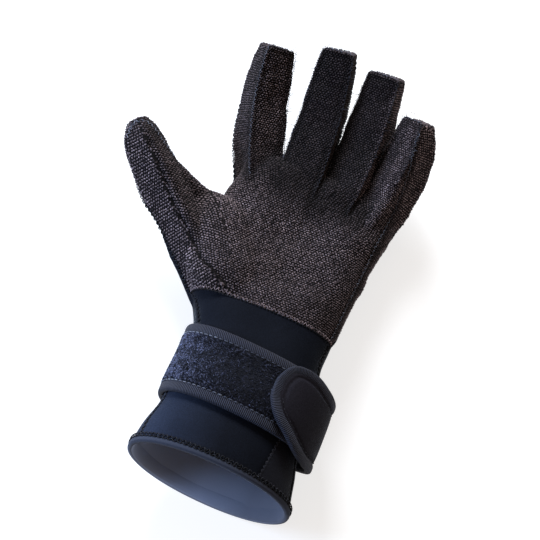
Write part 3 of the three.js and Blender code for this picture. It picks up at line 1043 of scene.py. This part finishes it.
def from_strip_seam(points, normals, corners, outward, fade_top, fade_end):
    """Distance from a strip's seam in the picture, positive on the strip, and the seam's strength."""
    spot = picture_place(points)
    seam_x = np.interp(spot[:, 1], [y for _, y in corners], [x for x, _ in corners])
    away = distance_to(flat_places(spot), flat_places(even_line(corners, 0.5))) * METRES_PER_PIXEL / MM
    away = away * np.sign((spot[:, 0] - seam_x) * outward)
    first, last = corners[0][1], corners[-1][1]
    strength = plateau(first, first + fade_top, last - fade_end, last, spot[:, 1])
    return np.where(seen_on_hand(points, normals, 0.05), away, FAR_OFF), strength


def ridge_lines():
    """Seams of each finger: its thumb-side front edge with the tip, and its other front edge."""
    radial, ulnar = [], []
    for name in ("index", "middle", "ring", "little"):
        digit = DIGITS[name]
        s = np.linspace(RIDGE_START, digit["length"], 160)
        centre, side, up = along_digit(digit, s)
        left, right, half = (size[:, None] for size in digit_sizes(digit, s))
        inset = digit["corner"] * (1 - math.sqrt(0.5))
        near = centre - side * (left - inset) + up * (half - inset)
        far = centre + side * (right - inset) + up * (half - inset)
        tip = near[-1] + (far[-1] - near[-1]) * np.linspace(0, 1, 40)[1:, None]
        radial.append(np.concatenate([near, tip]))
        ulnar.append(far[s > LITTLE_RIDGE_START] if name == "little" else far)
    return radial, ulnar


points, faces, panel = build_skin()
normals = vertex_normals(points, faces)
side_seam = border_between(faces, panel, BACK, [PALM, CUFF, SIDE])
palm_edge = border_between(faces, panel, PALM, [CUFF])
gusset_seam = border_between(faces, panel, SIDE, [CUFF])
radial_ridges, ulnar_ridges = ridge_lines()
thumb_away, thumb_strength = from_strip_seam(points, normals, THUMB_STRIP_PX, -1, 24, 18)
little_away, little_strength = from_strip_seam(points, normals, LITTLE_STRIP_PX, 1, 12, 4)
from_seam = distance_to(points, points[np.unique(np.concatenate([side_seam, gusset_seam]))])
from_ridge = distance_to(points, np.concatenate(radial_ridges + ulnar_ridges))
weave = weave_coordinates(points, thumb_away > 0)


def strip_relief(away, strength, step):
    """Step up onto a strip with a groove before it."""
    rise = step * smoothstep(-0.9, 0.7, away) * np.exp(-np.maximum(away, 0) / STRIP_FADE)
    return strength * (rise - STRIP_GROOVE * bell(away + 0.9, 1.1))


def skin_relief():
    """How far each point of the skin moves out: seams, ridges, strips and soft waves."""
    y, z = points[:, 1], points[:, 2]
    beside = bell(from_ridge - RIDGE_GROOVE_AWAY, RIDGE_WIDTH)
    relief = RIDGE_HEIGHT * (bell(from_ridge, RIDGE_WIDTH) - RIDGE_GROOVE * beside)
    relief -= SEAM_DEPTH * bell(from_seam, SEAM_REACH)
    relief += strip_relief(thumb_away, thumb_strength, STRIP_STEP)
    relief += strip_relief(little_away, little_strength, LITTLE_STRIP_STEP)
    hand_side = smoothstep(PALM_EDGE_Y - 25, PALM_EDGE_Y + 20, y)
    waves = ripple(points, 26, 3) * (0.25 + 0.3 * hand_side) + ripple(points, 9, 5) * 0.16 * hand_side
    off_strap = 1 - plateau(*CALM_UNDER_STRAP_Y, y)
    return relief + waves * off_strap * smoothstep(0.5, 5, z)


def skin_shade():
    """Painted shade of the knit on the skin, darker in the grooves by seams, ridges and strips."""
    shade = painted_knit_shade(points, normals)
    shade *= 1 - SHADE_BY_THUMB_STRIP * thumb_strength * bell(thumb_away + 0.7, 1.3)
    shade *= 1 - SHADE_BY_LITTLE_STRIP * little_strength * bell(little_away - 0.9, 1.1)
    shade *= 1 - SHADE_BY_RIDGE * bell(from_ridge - 2.0, 1.2)
    return shade * (1 - SHADE_BY_SEAM * bell(from_seam, 1.2))


shift = skin_relief()
shade = skin_shade()
skin_points = points + normals * shift[:, None]
palm_points = points + normals * (shift + PALM_RAISE * smoothstep(0.5, 3, from_seam))[:, None]


def add_panel(name, node, slot, which, places, material):
    used, grid, panel_faces, inside = thick_panel(places, normals, faces[panel == which], SKIN_THICK)
    both = np.concatenate([used, used])
    make_piece(name, grid, panel_faces, [material, LINING], slot, node, inside,
               weave=weave[both], shade=shade[both])


add_panel("palm_skin", "palm_panel", "palm_knit", PALM, palm_points, KNIT)
add_panel("back_skin", "back_panel", "neoprene", BACK, skin_points, NAVY)
add_panel("cuff_skin", "cuff_panel", "neoprene", CUFF, skin_points, NAVY)
add_panel("gusset_skin", "cuff_gusset", "gusset_neoprene", SIDE, skin_points, BLACK_NAVY)


# Hem round the mouth

def mouth_ring(angles, along, off):
    """Points round the hand at a distance from the mouth's edge and off the neoprene."""
    ring = hand_point(angles, 0 * angles, off)
    for _ in range(3):
        ring = hand_point(angles, along + mouth_line(ring), off)
    return ring


def add_hem():
    """Closed ring with a rounded rim, a stitched groove below its upper edge and the lining inside."""
    angles = circle(220)
    inner, outer = -SKIN_THICK, HEM_RAISE
    face = [(HEM_WIDTH, -0.6), (HEM_WIDTH - 0.1, outer - 0.5), (HEM_WIDTH - 0.6, outer),
            (HEM_GROOVE + 0.5, outer), (HEM_GROOVE, outer - 0.4)]
    rim = [(HEM_GROOVE - 0.5, outer), (1.3, outer + 0.1), (0.5, outer - 0.3), (0.1, outer - 1.1),
           (0.0, -1.0)]
    inside = [(0.3, inner + 0.6), (1.2, inner), (3.5, inner - 0.15),
              (HEM_WIDTH + 3, inner - 0.15), (HEM_WIDTH + 5, inner + 0.7)]
    grid = np.array([mouth_ring(angles, along, off) for along, off in face + rim + inside])
    hem_faces = ring_faces(len(grid), len(angles), closed_along=True)[:, ::-1]
    run = np.tile(np.linspace(0, HEM_RUN, len(angles)), len(grid))
    part = np.repeat([0, 1, 2], [len(side) * len(angles) for side in (face, rim, inside)])
    make_piece("hem_ring", grid, hem_faces, [NAVY, RIM, LINING], "neoprene", "cuff_hem", part,
               run=np.stack([run, 0 * run], -1))


add_hem()


# Strap, its bindings and the loop pile

strap_top = STRAP_LIFT + STRAP_THICK
body_low = STRAP_LOW_Y + BINDING_WIDTH
body_high = STRAP_HIGH_Y - BINDING_WIDTH


def band_point(angle, line_y, grow):
    """Points on the strap, which leans to the little-finger side."""
    p = hand_point(angle, line_y, grow)
    for _ in range(4):
        y = line_y - STRAP_LEAN * p[..., 0] + STRAP_LEAN * (TAB_CENTRE_Z - p[..., 2])
        p = hand_point(angle, y, grow)
    return p


def band_strip(name, node, slot, material, start, end, profile, stations=150):
    """A closed profile of pairs (line, height off the neoprene) carried round the forearm."""
    profile = np.array(profile)
    angles = np.radians(np.linspace(start, end, stations))
    grid = band_point(angles[:, None], profile[None, :, 0], profile[None, :, 1])
    count = len(profile)
    strip_faces = ring_faces(stations, count).tolist()
    strip_faces.append(list(range(count)))
    strip_faces.append(list(range((stations - 1) * count, stations * count))[::-1])
    run = np.stack([np.repeat(run_along(grid[:, 0]), count), np.tile(profile[:, 0], stations)], -1)
    make_piece(name, grid, strip_faces, [material], slot, node, run=run)


def rounded_profile(low, high, bottom, top, crown=0.3, steps=40):
    """Flat strip with round edges and a crown, as pairs (line, height)."""
    angles = circle(steps)
    across = power(np.cos(angles), 0.55)
    line = (low + high) / 2 + (high - low) / 2 * across
    height = (top + bottom) / 2 + (top - bottom) / 2 * power(np.sin(angles), 0.7)
    height = height + crown * np.maximum(np.sin(angles), 0) * (1 - across ** 2)
    return np.stack([line, height], -1)


def add_strap():
    low, high = body_low + 0.2, body_high - 0.2
    core = [(low, STRAP_LIFT), (high, STRAP_LIFT), (high, strap_top), (low, strap_top)]
    band_strip("strap_core", "strap_band", "strap_neoprene", BLACK_NAVY, STRAP_BACK, STRAP_PALM, core)
    for name, node, low, high in (
            ("strap_low_edge", "strap_lower_binding", STRAP_LOW_Y, body_low + 0.6),
            ("strap_high_edge", "strap_upper_binding", body_high - 0.6, STRAP_HIGH_Y)):
        tape = rounded_profile(low, high, STRAP_LIFT - 0.15, strap_top + 0.8)
        band_strip(name, node, "edge_binding", BINDING, STRAP_BACK, STRAP_PALM, tape)
    ground = rounded_profile(body_low + 0.3, body_high - 0.3, strap_top + 0.05, strap_top + 0.75, 0.5)
    band_strip("pile_ground", "strap_loop_patch", "loop_pile", PILE, PILE_START, PILE_END, ground)


def add_strands(name, starts, ends, bulge, width, material, slot, tint, segments=4):
    """Thin bowed strands of three sides each, all in one mesh."""
    t = np.linspace(0, 1, segments + 1)[:, None]
    centre = starts[:, None] * (1 - t) + ends[:, None] * t + bulge[:, None] * 4 * t * (1 - t)
    side = unit(np.cross(ends - starts, bulge))
    out = unit(bulge)
    taper = np.where((t == 0) | (t == 1), 0.6, 1.0) * width / 2
    corners = [side * math.cos(a) + out * math.sin(a) for a in np.radians([90, 210, 330])]
    grid = np.stack([centre + corner[:, None] * taper for corner in corners], 2)
    block = (segments + 1) * 3
    starts_at = np.arange(len(starts))[:, None, None] * block
    strand_faces = (starts_at + ring_faces(segments + 1, 3)).reshape(-1, 4)
    make_piece(name, grid, strand_faces, [material], slot, tint=np.repeat(tint, block))


def add_pile():
    """Loops of the pile, dark and light in clumps, with painted shade that darkens them towards the tab.
    """
    dice = np.random.default_rng(11)
    angle = np.radians(dice.uniform(PILE_END + 0.5, PILE_START - 0.5, PILE_STRANDS))
    line = dice.uniform(body_low + 0.8, body_high - 0.8, PILE_STRANDS)
    base = band_point(angle, line, strap_top + 0.6)
    out = unit(band_point(angle, line, strap_top + 1.6) - base)
    lean = dice.normal(size=(PILE_STRANDS, 3))
    lean = unit(lean - out * (lean * out).sum(1, keepdims=True))
    reach = dice.uniform(0.5, 1.1, PILE_STRANDS)[:, None]
    clump = np.clip(dice.beta(0.6, 2.3, PILE_STRANDS) + 0.14 * ripple(base, 7, 13), 0, 1)
    # Painted shade: fewer light loops and darker ones towards the tab
    far = smoothstep(-44, 10, base[:, 0])
    clump = clump ** (1 + 1.2 * far) * (1 - 0.45 * far)
    bulge = out * dice.uniform(0.5, 1.2, PILE_STRANDS)[:, None]
    add_strands("loop_pile_strands", base - lean * reach, base + lean * reach, bulge, PILE_WIDTH, PILE,
                "loop_pile", clump, segments=3)


add_strap()
add_pile()


# Tab of the strap

def tab_point(degrees, y, off, floor=TAB_FLOOR):
    angle = np.radians(degrees)
    reach = column(TAB, "angle", "reach", degrees) + off
    reach = reach + np.where(np.sin(angle) > 0, TAB_TILT * (TAB_MIDDLE_Y - y), 0)
    x = TAB_CENTRE_X + (TAB_REACH_X + off) * np.cos(angle)
    z = np.maximum(TAB_CENTRE_Z + reach * np.sin(angle), floor)
    return np.stack([x, np.broadcast_to(y, x.shape), z], -1)


def tab_outline():
    """The tab's outline in millimetres round the forearm and along it, rounded at its end."""
    angles = np.linspace(TAB[0]["angle"], TAB[-1]["angle"], 240)
    low, high = (column(TAB, "angle", name, angles) for name in ("low", "high"))
    angle, y = np.concatenate([angles, angles[::-1]]), np.concatenate([low, high[::-1]])
    flat = np.stack([angle * TAB_ARC, y], -1)
    run = run_along(flat)
    return smooth_line(interpolated(np.linspace(0, run[-1], 340), run, flat), 10)


def tab_frame(off=0.0):
    """Points along the outline with the directions into the tab and out of it."""
    angle, y = (tab_outline() / (TAB_ARC, 1)).T
    p = tab_point(angle, y, off, BELOW)
    out = tab_point(angle, y, off + 1, BELOW) - p
    along = np.gradient(p, axis=0)
    out = unit(out - along * ((out * along).sum(1) / (along ** 2).sum(1))[:, None])
    return p, np.cross(unit(along), out), out


def add_tab():
    """The tab's sheet, with a crown and a stitched groove inside its binding."""
    across = np.linspace(0, 1, 60)
    start, end = TAB[0]["angle"], TAB[-1]["angle"] - TAB_FACE_TRIM
    angles = start + (end - start) * (1 - (1 - np.linspace(0, 1, 90)) ** 1.3)
    low = column(TAB, "angle", "low", angles) + TAB_FACE_INSET
    high = column(TAB, "angle", "high", angles) - TAB_FACE_INSET
    y = low[:, None] + (high - low)[:, None] * across
    degrees = np.broadcast_to(angles[:, None], y.shape)
    flat = np.stack([degrees * TAB_ARC, y], -1).reshape(-1, 2)
    edge = distance_to(flat_places(flat), flat_places(tab_outline())).reshape(y.shape)
    edge = np.maximum(edge - TAB_FACE_INSET, 0)
    crown = TAB_CROWN * (1 - np.exp(-edge / 4)) - TAB_GROOVE * bell(edge - TAB_STITCH_INSET, 0.9)
    top = tab_point(degrees, y, TAB_THICK / 2 - 0.3 + crown)
    under = tab_point(degrees, y, -TAB_THICK / 2 + 0.2)
    grid = np.concatenate([top, under[:, ::-1]], 1)
    rows, around = grid.shape[:2]
    first = np.array([[k, k + 1, around - 2 - k, around - 1 - k] for k in range(len(across) - 1)])
    last = first[:, ::-1] + (rows - 1) * around
    tab_faces = np.concatenate([ring_faces(rows, around), first, last])
    make_piece("tab_sheet", grid, tab_faces, [TAB_FACE], "strap_neoprene", "strap_tab")


def add_tab_binding():
    centre, inward, out = tab_frame()
    width, tall = TAB_BINDING_WIDTH / 2, TAB_THICK / 2 + 0.75
    around = circle(28)
    across = width * power(np.cos(around), 0.6)
    high = tall * power(np.sin(around), 0.75)
    grid = centre[:, None] + inward[:, None] * (width + across)[:, None] + out[:, None] * high[:, None]
    grid[..., 2] = np.maximum(grid[..., 2], TAB_FLOOR)
    run = np.stack([np.repeat(run_along(centre), len(around)), np.tile(across, len(centre))], -1)
    make_piece("tab_edge", grid, ring_faces(len(centre), len(around)), [BINDING], "edge_binding",
               "tab_binding", run=run)


add_tab()
add_tab_binding()


# Stitches

def resampled(line, directions, spacing):
    """Even places along a line, with the directions there."""
    run = run_along(line)
    even = np.arange(spacing / 2, run[-1], spacing)
    return interpolated(even, run, line), unit(interpolated(even, run, directions))


def zigzag(line, directions, spacing, reach, lift):
    """Stitches that cross a line to and fro: their starts, ends and outward directions."""
    place, out = resampled(line, directions, spacing)
    along = np.gradient(place, axis=0)
    lean = np.where(np.arange(len(place)) % 2, 1.0, -1.0)[:, None]
    half = unit(np.cross(along, out)) * reach + unit(along) * lean * spacing * 0.45
    place = place + out * lift
    return place - half, place + half, out


def running(line, directions, spacing, length, lift):
    """Stitches that follow a line: their starts, ends and outward directions."""
    place, out = resampled(line, directions, spacing)
    half = unit(np.gradient(place, axis=0)) * length / 2
    place = place + out * lift
    return place - half, place + half, out


def add_stitches(name, parts, width, material, tint, seed, slot="edge_binding", painted_side_shade=0.0):
    """Stitches in one mesh; the last argument paints shade on them, darker towards the little-finger
    side.
    """
    dice = np.random.default_rng(seed)
    starts, ends, out = (np.concatenate(part) for part in zip(*parts))
    clear = np.minimum(starts[:, 2], ends[:, 2]) > width
    starts, ends, out = starts[clear], ends[clear], out[clear]
    tints = dice.normal(tint, STITCH_TINT_SPREAD, len(starts)) - painted_side_shade * smoothstep(-45, 5, starts[:, 0])
    add_strands(name, starts, ends, out * STITCH_BOW, width, material, slot, np.clip(tints, 0, 1))


skin_tree = tree_of(points)


def directions_at(line):
    """The skin's outward direction near each place of a line."""
    return normals[[skin_tree.find(p)[1] for p in line.tolist()]]


def along_border(edges, spacing, reach, lift, shifted=0.0):
    """Zigzag stitches along a border between panels, or a little to one side of it."""
    return [zigzag(smooth_line(skin_points[run]) + (0, shifted, 0), normals[run], spacing, reach, lift)
            for run in chains(edges)]


def along_ridges(lines):
    return [zigzag(line, directions_at(line), 1.5, 0.7, RIDGE_HEIGHT + 0.15) for line in lines]


def along_picture_line(corners, spacing, reach, lift):
    """Zigzag stitches on the skin under a line drawn in the picture."""
    seen = np.flatnonzero(seen_on_hand(points, normals, 0.1))
    tree = tree_of(flat_places(picture_place(skin_points[seen])))
    chosen = []
    for place in even_line(corners, 1.5).tolist():
        near = [seen[k] for _, k, _ in tree.find_n((*place, 0), 5)]
        chosen.append(max(near, key=lambda k: skin_points[k, 2]))
    return [zigzag(smooth_line(skin_points[chosen], 12), normals[chosen], spacing, reach, lift)]


def along_strap():
    """Running stitches inside both bindings of the strap."""
    angles = np.radians(np.linspace(STRAP_PALM + 3, STRAP_BACK - 2, 260))
    parts = []
    for line_y in (body_low - 0.2, body_high + 0.2):
        line = band_point(angles, line_y, strap_top + 0.95)
        out = band_point(angles, line_y, strap_top + 1.95) - line
        parts.append(running(line, out, 3.5, 2.4, 0.1))
    return parts


def along_tab():
    line, inward, out = tab_frame(TAB_THICK / 2 - 0.25)
    return [zigzag(line + inward * (TAB_FACE_INSET + TAB_STITCH_INSET), out, 2.1, 0.3, 0.0)]


def along_hem():
    """Stitches in the hem's groove and over its upper edge."""
    angles = np.linspace(0, 2 * math.pi, 260)
    line = mouth_ring(angles, HEM_GROOVE, HEM_RAISE)
    out = hand_point(angles, line[:, 1], HEM_RAISE + 1) - line
    upper = hand_point(angles, HEM_WIDTH + mouth_line(line), HEM_RAISE - 0.3)
    return [zigzag(line, out, 1.7, 0.55, 0.1), zigzag(upper, out, 1.5, 0.9, 0.5)]


def add_stray_threads():
    """Loose ends that stand off the finger seams, most of them near the tips."""
    dice = np.random.default_rng(41)
    starts, ends, outs = [], [], []
    for line in radial_ridges + ulnar_ridges:
        out = directions_at(line)
        back_from_tip = np.abs(dice.normal(0, 1, STRAYS_PER_FINGER)) * len(line) * 0.3
        chosen = np.clip(len(line) - 1 - back_from_tip, 0, len(line) - 1).astype(int)
        start = line[chosen] + out[chosen] * (RIDGE_HEIGHT - 0.2)
        reach = dice.uniform(1.0, 2.6, STRAYS_PER_FINGER)[:, None]
        starts.append(start)
        ends.append(start + (out[chosen] + dice.normal(0, 0.7, (STRAYS_PER_FINGER, 3))) * reach)
        outs.append(dice.normal(0, 0.5, (STRAYS_PER_FINGER, 3)))
    starts, ends, outs = (np.concatenate(part) for part in (starts, ends, outs))
    tint = dice.uniform(0, 0.9, len(starts))
    add_strands("stray_threads", starts, ends, outs, 0.32, THREAD, "palm_knit", tint)


add_stitches("seam_stitches", along_border(side_seam, 1.6, 1.6, 0.45), 0.95, THREAD, 0.15, seed=21)
# Light threads on the fingers' thumb-side seams: real stitches whose light colour also paints the
# highlight there
add_stitches("finger_seam_threads", along_ridges(radial_ridges), 0.45, LIGHT_THREAD, 0.1, seed=27)
add_stitches("finger_edge_threads", along_ridges(ulnar_ridges), 0.5, THREAD, 0.5, seed=29)
# Light threads round the thumb's tip: real stitches whose light colour also paints the tip's highlight
thumb_tip = along_picture_line(THUMB_TIP_PX, 1.6, 1.1, 0.55)
add_stitches("thumb_tip_threads", thumb_tip, 0.6, LIGHT_THREAD, 0.35, seed=32)
little_strip = along_picture_line(LITTLE_STRIP_PX, 1.6, 0.8, 0.45)
add_stitches("little_seam_threads", little_strip, 0.5, LIGHT_THREAD, 0.2, seed=30)
add_stray_threads()
add_stitches("gusset_stitches", along_border(gusset_seam, 1.6, 0.9, 0.65), 0.4, THREAD, 0.8, seed=22)
palm_edge_zigzag = along_border(palm_edge, 1.3, 0.9, 0.5, 0.5)
add_stitches("palm_edge_threads", palm_edge_zigzag, 0.42, LOOPS, 0.6, seed=23, slot="palm_knit")
# A row of dark threads just below the palm's edge paints the shadow under that edge
below_palm_edge = along_border(palm_edge, 1.2, 0.35, 0.25, -0.9)
add_stitches("palm_edge_shadow", below_palm_edge, 0.8, THREAD, 0.0, seed=28)
# The strap's stitches take painted shade towards the little-finger side
add_stitches("strap_stitches", along_strap(), 0.7, LIGHT_THREAD, 0.72, seed=24, painted_side_shade=0.75)
add_stitches("tab_stitches", along_tab(), 0.6, THREAD, 0.45, seed=25)
add_stitches("hem_stitches", along_hem(), 0.85, THREAD, 0.12, seed=26)


# Loops of the knit, one raised yarn at each place of its staggered grid

def loop_sites(weaves, places, data):
    """Places of the knit's grid on triangles of the skin, with the data, row and directions there."""
    size = np.array([KNIT_COLUMN, KNIT_ROW])
    middle = weaves.mean(1) / size
    row = np.round(middle[:, 1])
    place_in_row = 2 * np.round((middle[:, 0] - row % 2) / 2) + row % 2
    target = np.stack([place_in_row, row], -1) * size
    a, b, c = (weaves[:, k] for k in range(3))
    ab, ac = b - a, c - a
    whole = np.cross(ab, ac)
    whole = np.where(np.abs(whole) < 1e-6, 1e-6, whole)[:, None]
    shares = np.stack([np.cross(b - target, c - target), np.cross(c - target, a - target)], -1) / whole
    shares = np.concatenate([shares, 1 - shares.sum(1, keepdims=True)], 1)
    inside = (shares[:, 0] >= 0) & (shares[:, 1] > 0) & (shares[:, 2] > 0)
    place, data = ((shares[:, :, None] * corner).sum(1) for corner in (places, data))
    to_b, to_c = places[:, 1] - places[:, 0], places[:, 2] - places[:, 0]
    across = (to_b * ac[:, 1:] - to_c * ab[:, 1:]) / whole
    along = (to_c * ab[:, :1] - to_b * ac[:, :1]) / whole
    return [part[inside] for part in (place, data, row, across, along)]


def knit_grid():
    """Places of all the loops: from the weave, or straight down the skin where it is too stretched."""
    palm = faces[panel == PALM]
    triangles = np.concatenate([palm[:, [0, 1, 2]], palm[:, [0, 2, 3]]])
    data = np.concatenate([normals, shade[:, None]], 1)
    facing = np.abs(normals[triangles].mean(1))
    a, b, c = (palm_points[triangles[:, k]] for k in range(3))
    area = np.linalg.norm(np.cross(b - a, c - a), axis=1)
    a, b, c = (weave[triangles[:, k]] for k in range(3))
    stretch = np.abs(np.cross(b - a, c - a)) / area
    good = (stretch > 0.45) & (stretch < 2.5)
    forward = ~good & (facing[:, 1] > facing[:, 0])
    sets = [(weave, good), (points[:, [0, 2]], forward), (points[:, [2, 1]], ~good & ~forward)]
    sites = []
    for grid, mask in sets:
        chosen = triangles[mask]
        sites.append(loop_sites(grid[chosen], palm_points[chosen], data[chosen]))
    return [np.concatenate(parts) for parts in zip(*sites)]


def add_knit_loops():
    place, data, row, u_dir, v_dir = knit_grid()
    normal, loop_shade = data[:, :3], data[:, 3] ** 2
    lengths = (np.linalg.norm(direction, axis=1, keepdims=True) for direction in (u_dir, v_dir))
    stretch_u, stretch_v = (np.clip(length, 0.6, 1.6) for length in lengths)
    u_dir, v_dir = unit(u_dir), unit(v_dir)
    count = len(place)
    dice = np.random.default_rng(31)
    lean = np.where(row % 2 == 0, 1.0, -1.0) * LOOP_LEAN
    tilt = np.radians(lean + dice.normal(0, LOOP_SCATTER, count))[:, None]
    along = u_dir * np.cos(tilt) + v_dir * np.sin(tilt)
    across = np.cross(normal, along)
    place = place + u_dir * dice.normal(0, 0.2, count)[:, None]
    place = place + v_dir * dice.normal(0, 0.15, count)[:, None]
    along = along * dice.uniform(0.75, 1.15, count)[:, None] * stretch_u
    across = across * dice.uniform(0.34, 0.46, count)[:, None] * stretch_v
    up = normal * dice.uniform(0.25, 0.55, count)[:, None]
    corners = [(-1, 0, -0.2), (1, 0, -0.2), (0, -1, -0.2), (0, 1, -0.2), (-0.4, 0, 1), (0.4, 0, 1)]
    grid = np.stack([place + along * x + across * y + up * z for x, y, z in corners], 1)
    base = np.array([(0, 2, 4), (4, 2, 5), (2, 1, 5), (0, 4, 3), (4, 5, 3), (5, 1, 3)])
    loop_faces = (np.arange(count)[:, None, None] * len(corners) + base).reshape(-1, 3)
    tint = dice.normal(0.42, 0.15, count) + 0.07 * ripple(place, 14, 33)
    # The loops take the skin's painted light and shade, squared
    tint = np.clip(tint, 0.03, 1) * loop_shade
    make_piece("knit_loops", grid, loop_faces, [LOOPS], "palm_knit", tint=np.repeat(tint, len(corners)))


add_knit_loops()


# Studio: floor, light and camera

def white_glow(name, base, strength):
    finish = Finish(name, roughness=1.0, specular=0.0, colour=base, glow_colour=WHITE, glow=strength)
    return finish.material


def add_floor():
    mesh = bpy.data.meshes.new("studio_floor")
    corners = [(x * FLOOR_HALF, y * FLOOR_HALF, 0) for x, y in ((-1, -1), (1, -1), (1, 1), (-1, 1))]
    mesh.from_pydata(corners, [], [(0, 1, 2, 3)])
    mesh.materials.append(white_glow("studio white", FLOOR_COLOUR, FLOOR_GLOW))
    add_object("studio_floor", mesh)


def add_backdrop():
    """White dome that only the camera sees, so that it sheds no light on the glove."""
    mesh = bpy.data.meshes.new("studio_backdrop")
    form = bmesh.new()
    bmesh.ops.create_icosphere(form, subdivisions=3, radius=BACKDROP_RADIUS)
    form.to_mesh(mesh)
    form.free()
    mesh.materials.append(white_glow("studio backdrop", BLACK, 1.0))
    dome = add_object("studio_backdrop", mesh)
    dome.visible_diffuse = dome.visible_glossy = dome.visible_shadow = False
    dome.visible_transmission = dome.visible_volume_scatter = False


def placed(right, up, back, location):
    rows = [(right[k], up[k], back[k], location[k]) for k in range(3)]
    return Matrix((*rows, (0, 0, 0, 1)))


def add_light(name, offset, size, energy, colour):
    """Area light at an offset from the glove, aimed at it."""
    aim = unit(np.array(offset))
    side = unit(np.cross((0, 0, 1), aim))
    data = bpy.data.lights.new(name, "AREA")
    data.size = size
    data.energy = energy
    data.color = colour
    lamp = add_object(name, data)
    lamp.matrix_world = placed(side, np.cross(aim, side), aim, np.array(CAMERA_TARGET) + offset)


def add_camera():
    data = bpy.data.cameras.new("camera")
    data.sensor_width = SENSOR
    data.lens = SENSOR * CAMERA_DISTANCE / METRES_PER_PIXEL / PICTURE_SIDE
    data.clip_start = 0.05
    camera = add_object("camera", data)
    camera.matrix_world = placed(*camera_axes())
    bpy.context.scene.camera = camera


def add_world():
    world = bpy.data.worlds.new("studio")
    world.use_nodes = True
    background = world.node_tree.nodes["Background"]
    background.inputs["Color"].default_value = SKY_COLOUR
    background.inputs["Strength"].default_value = SKY_STRENGTH
    bpy.context.scene.world = world
    bpy.context.scene.view_settings.view_transform = "Standard"


add_floor()
add_backdrop()
add_camera()
add_light("key", KEY_OFFSET, KEY_SIZE, KEY_ENERGY, KEY_COLOUR)
add_light("side", SIDE_OFFSET, SIDE_SIZE, SIDE_ENERGY, SIDE_COLOUR)
add_world()
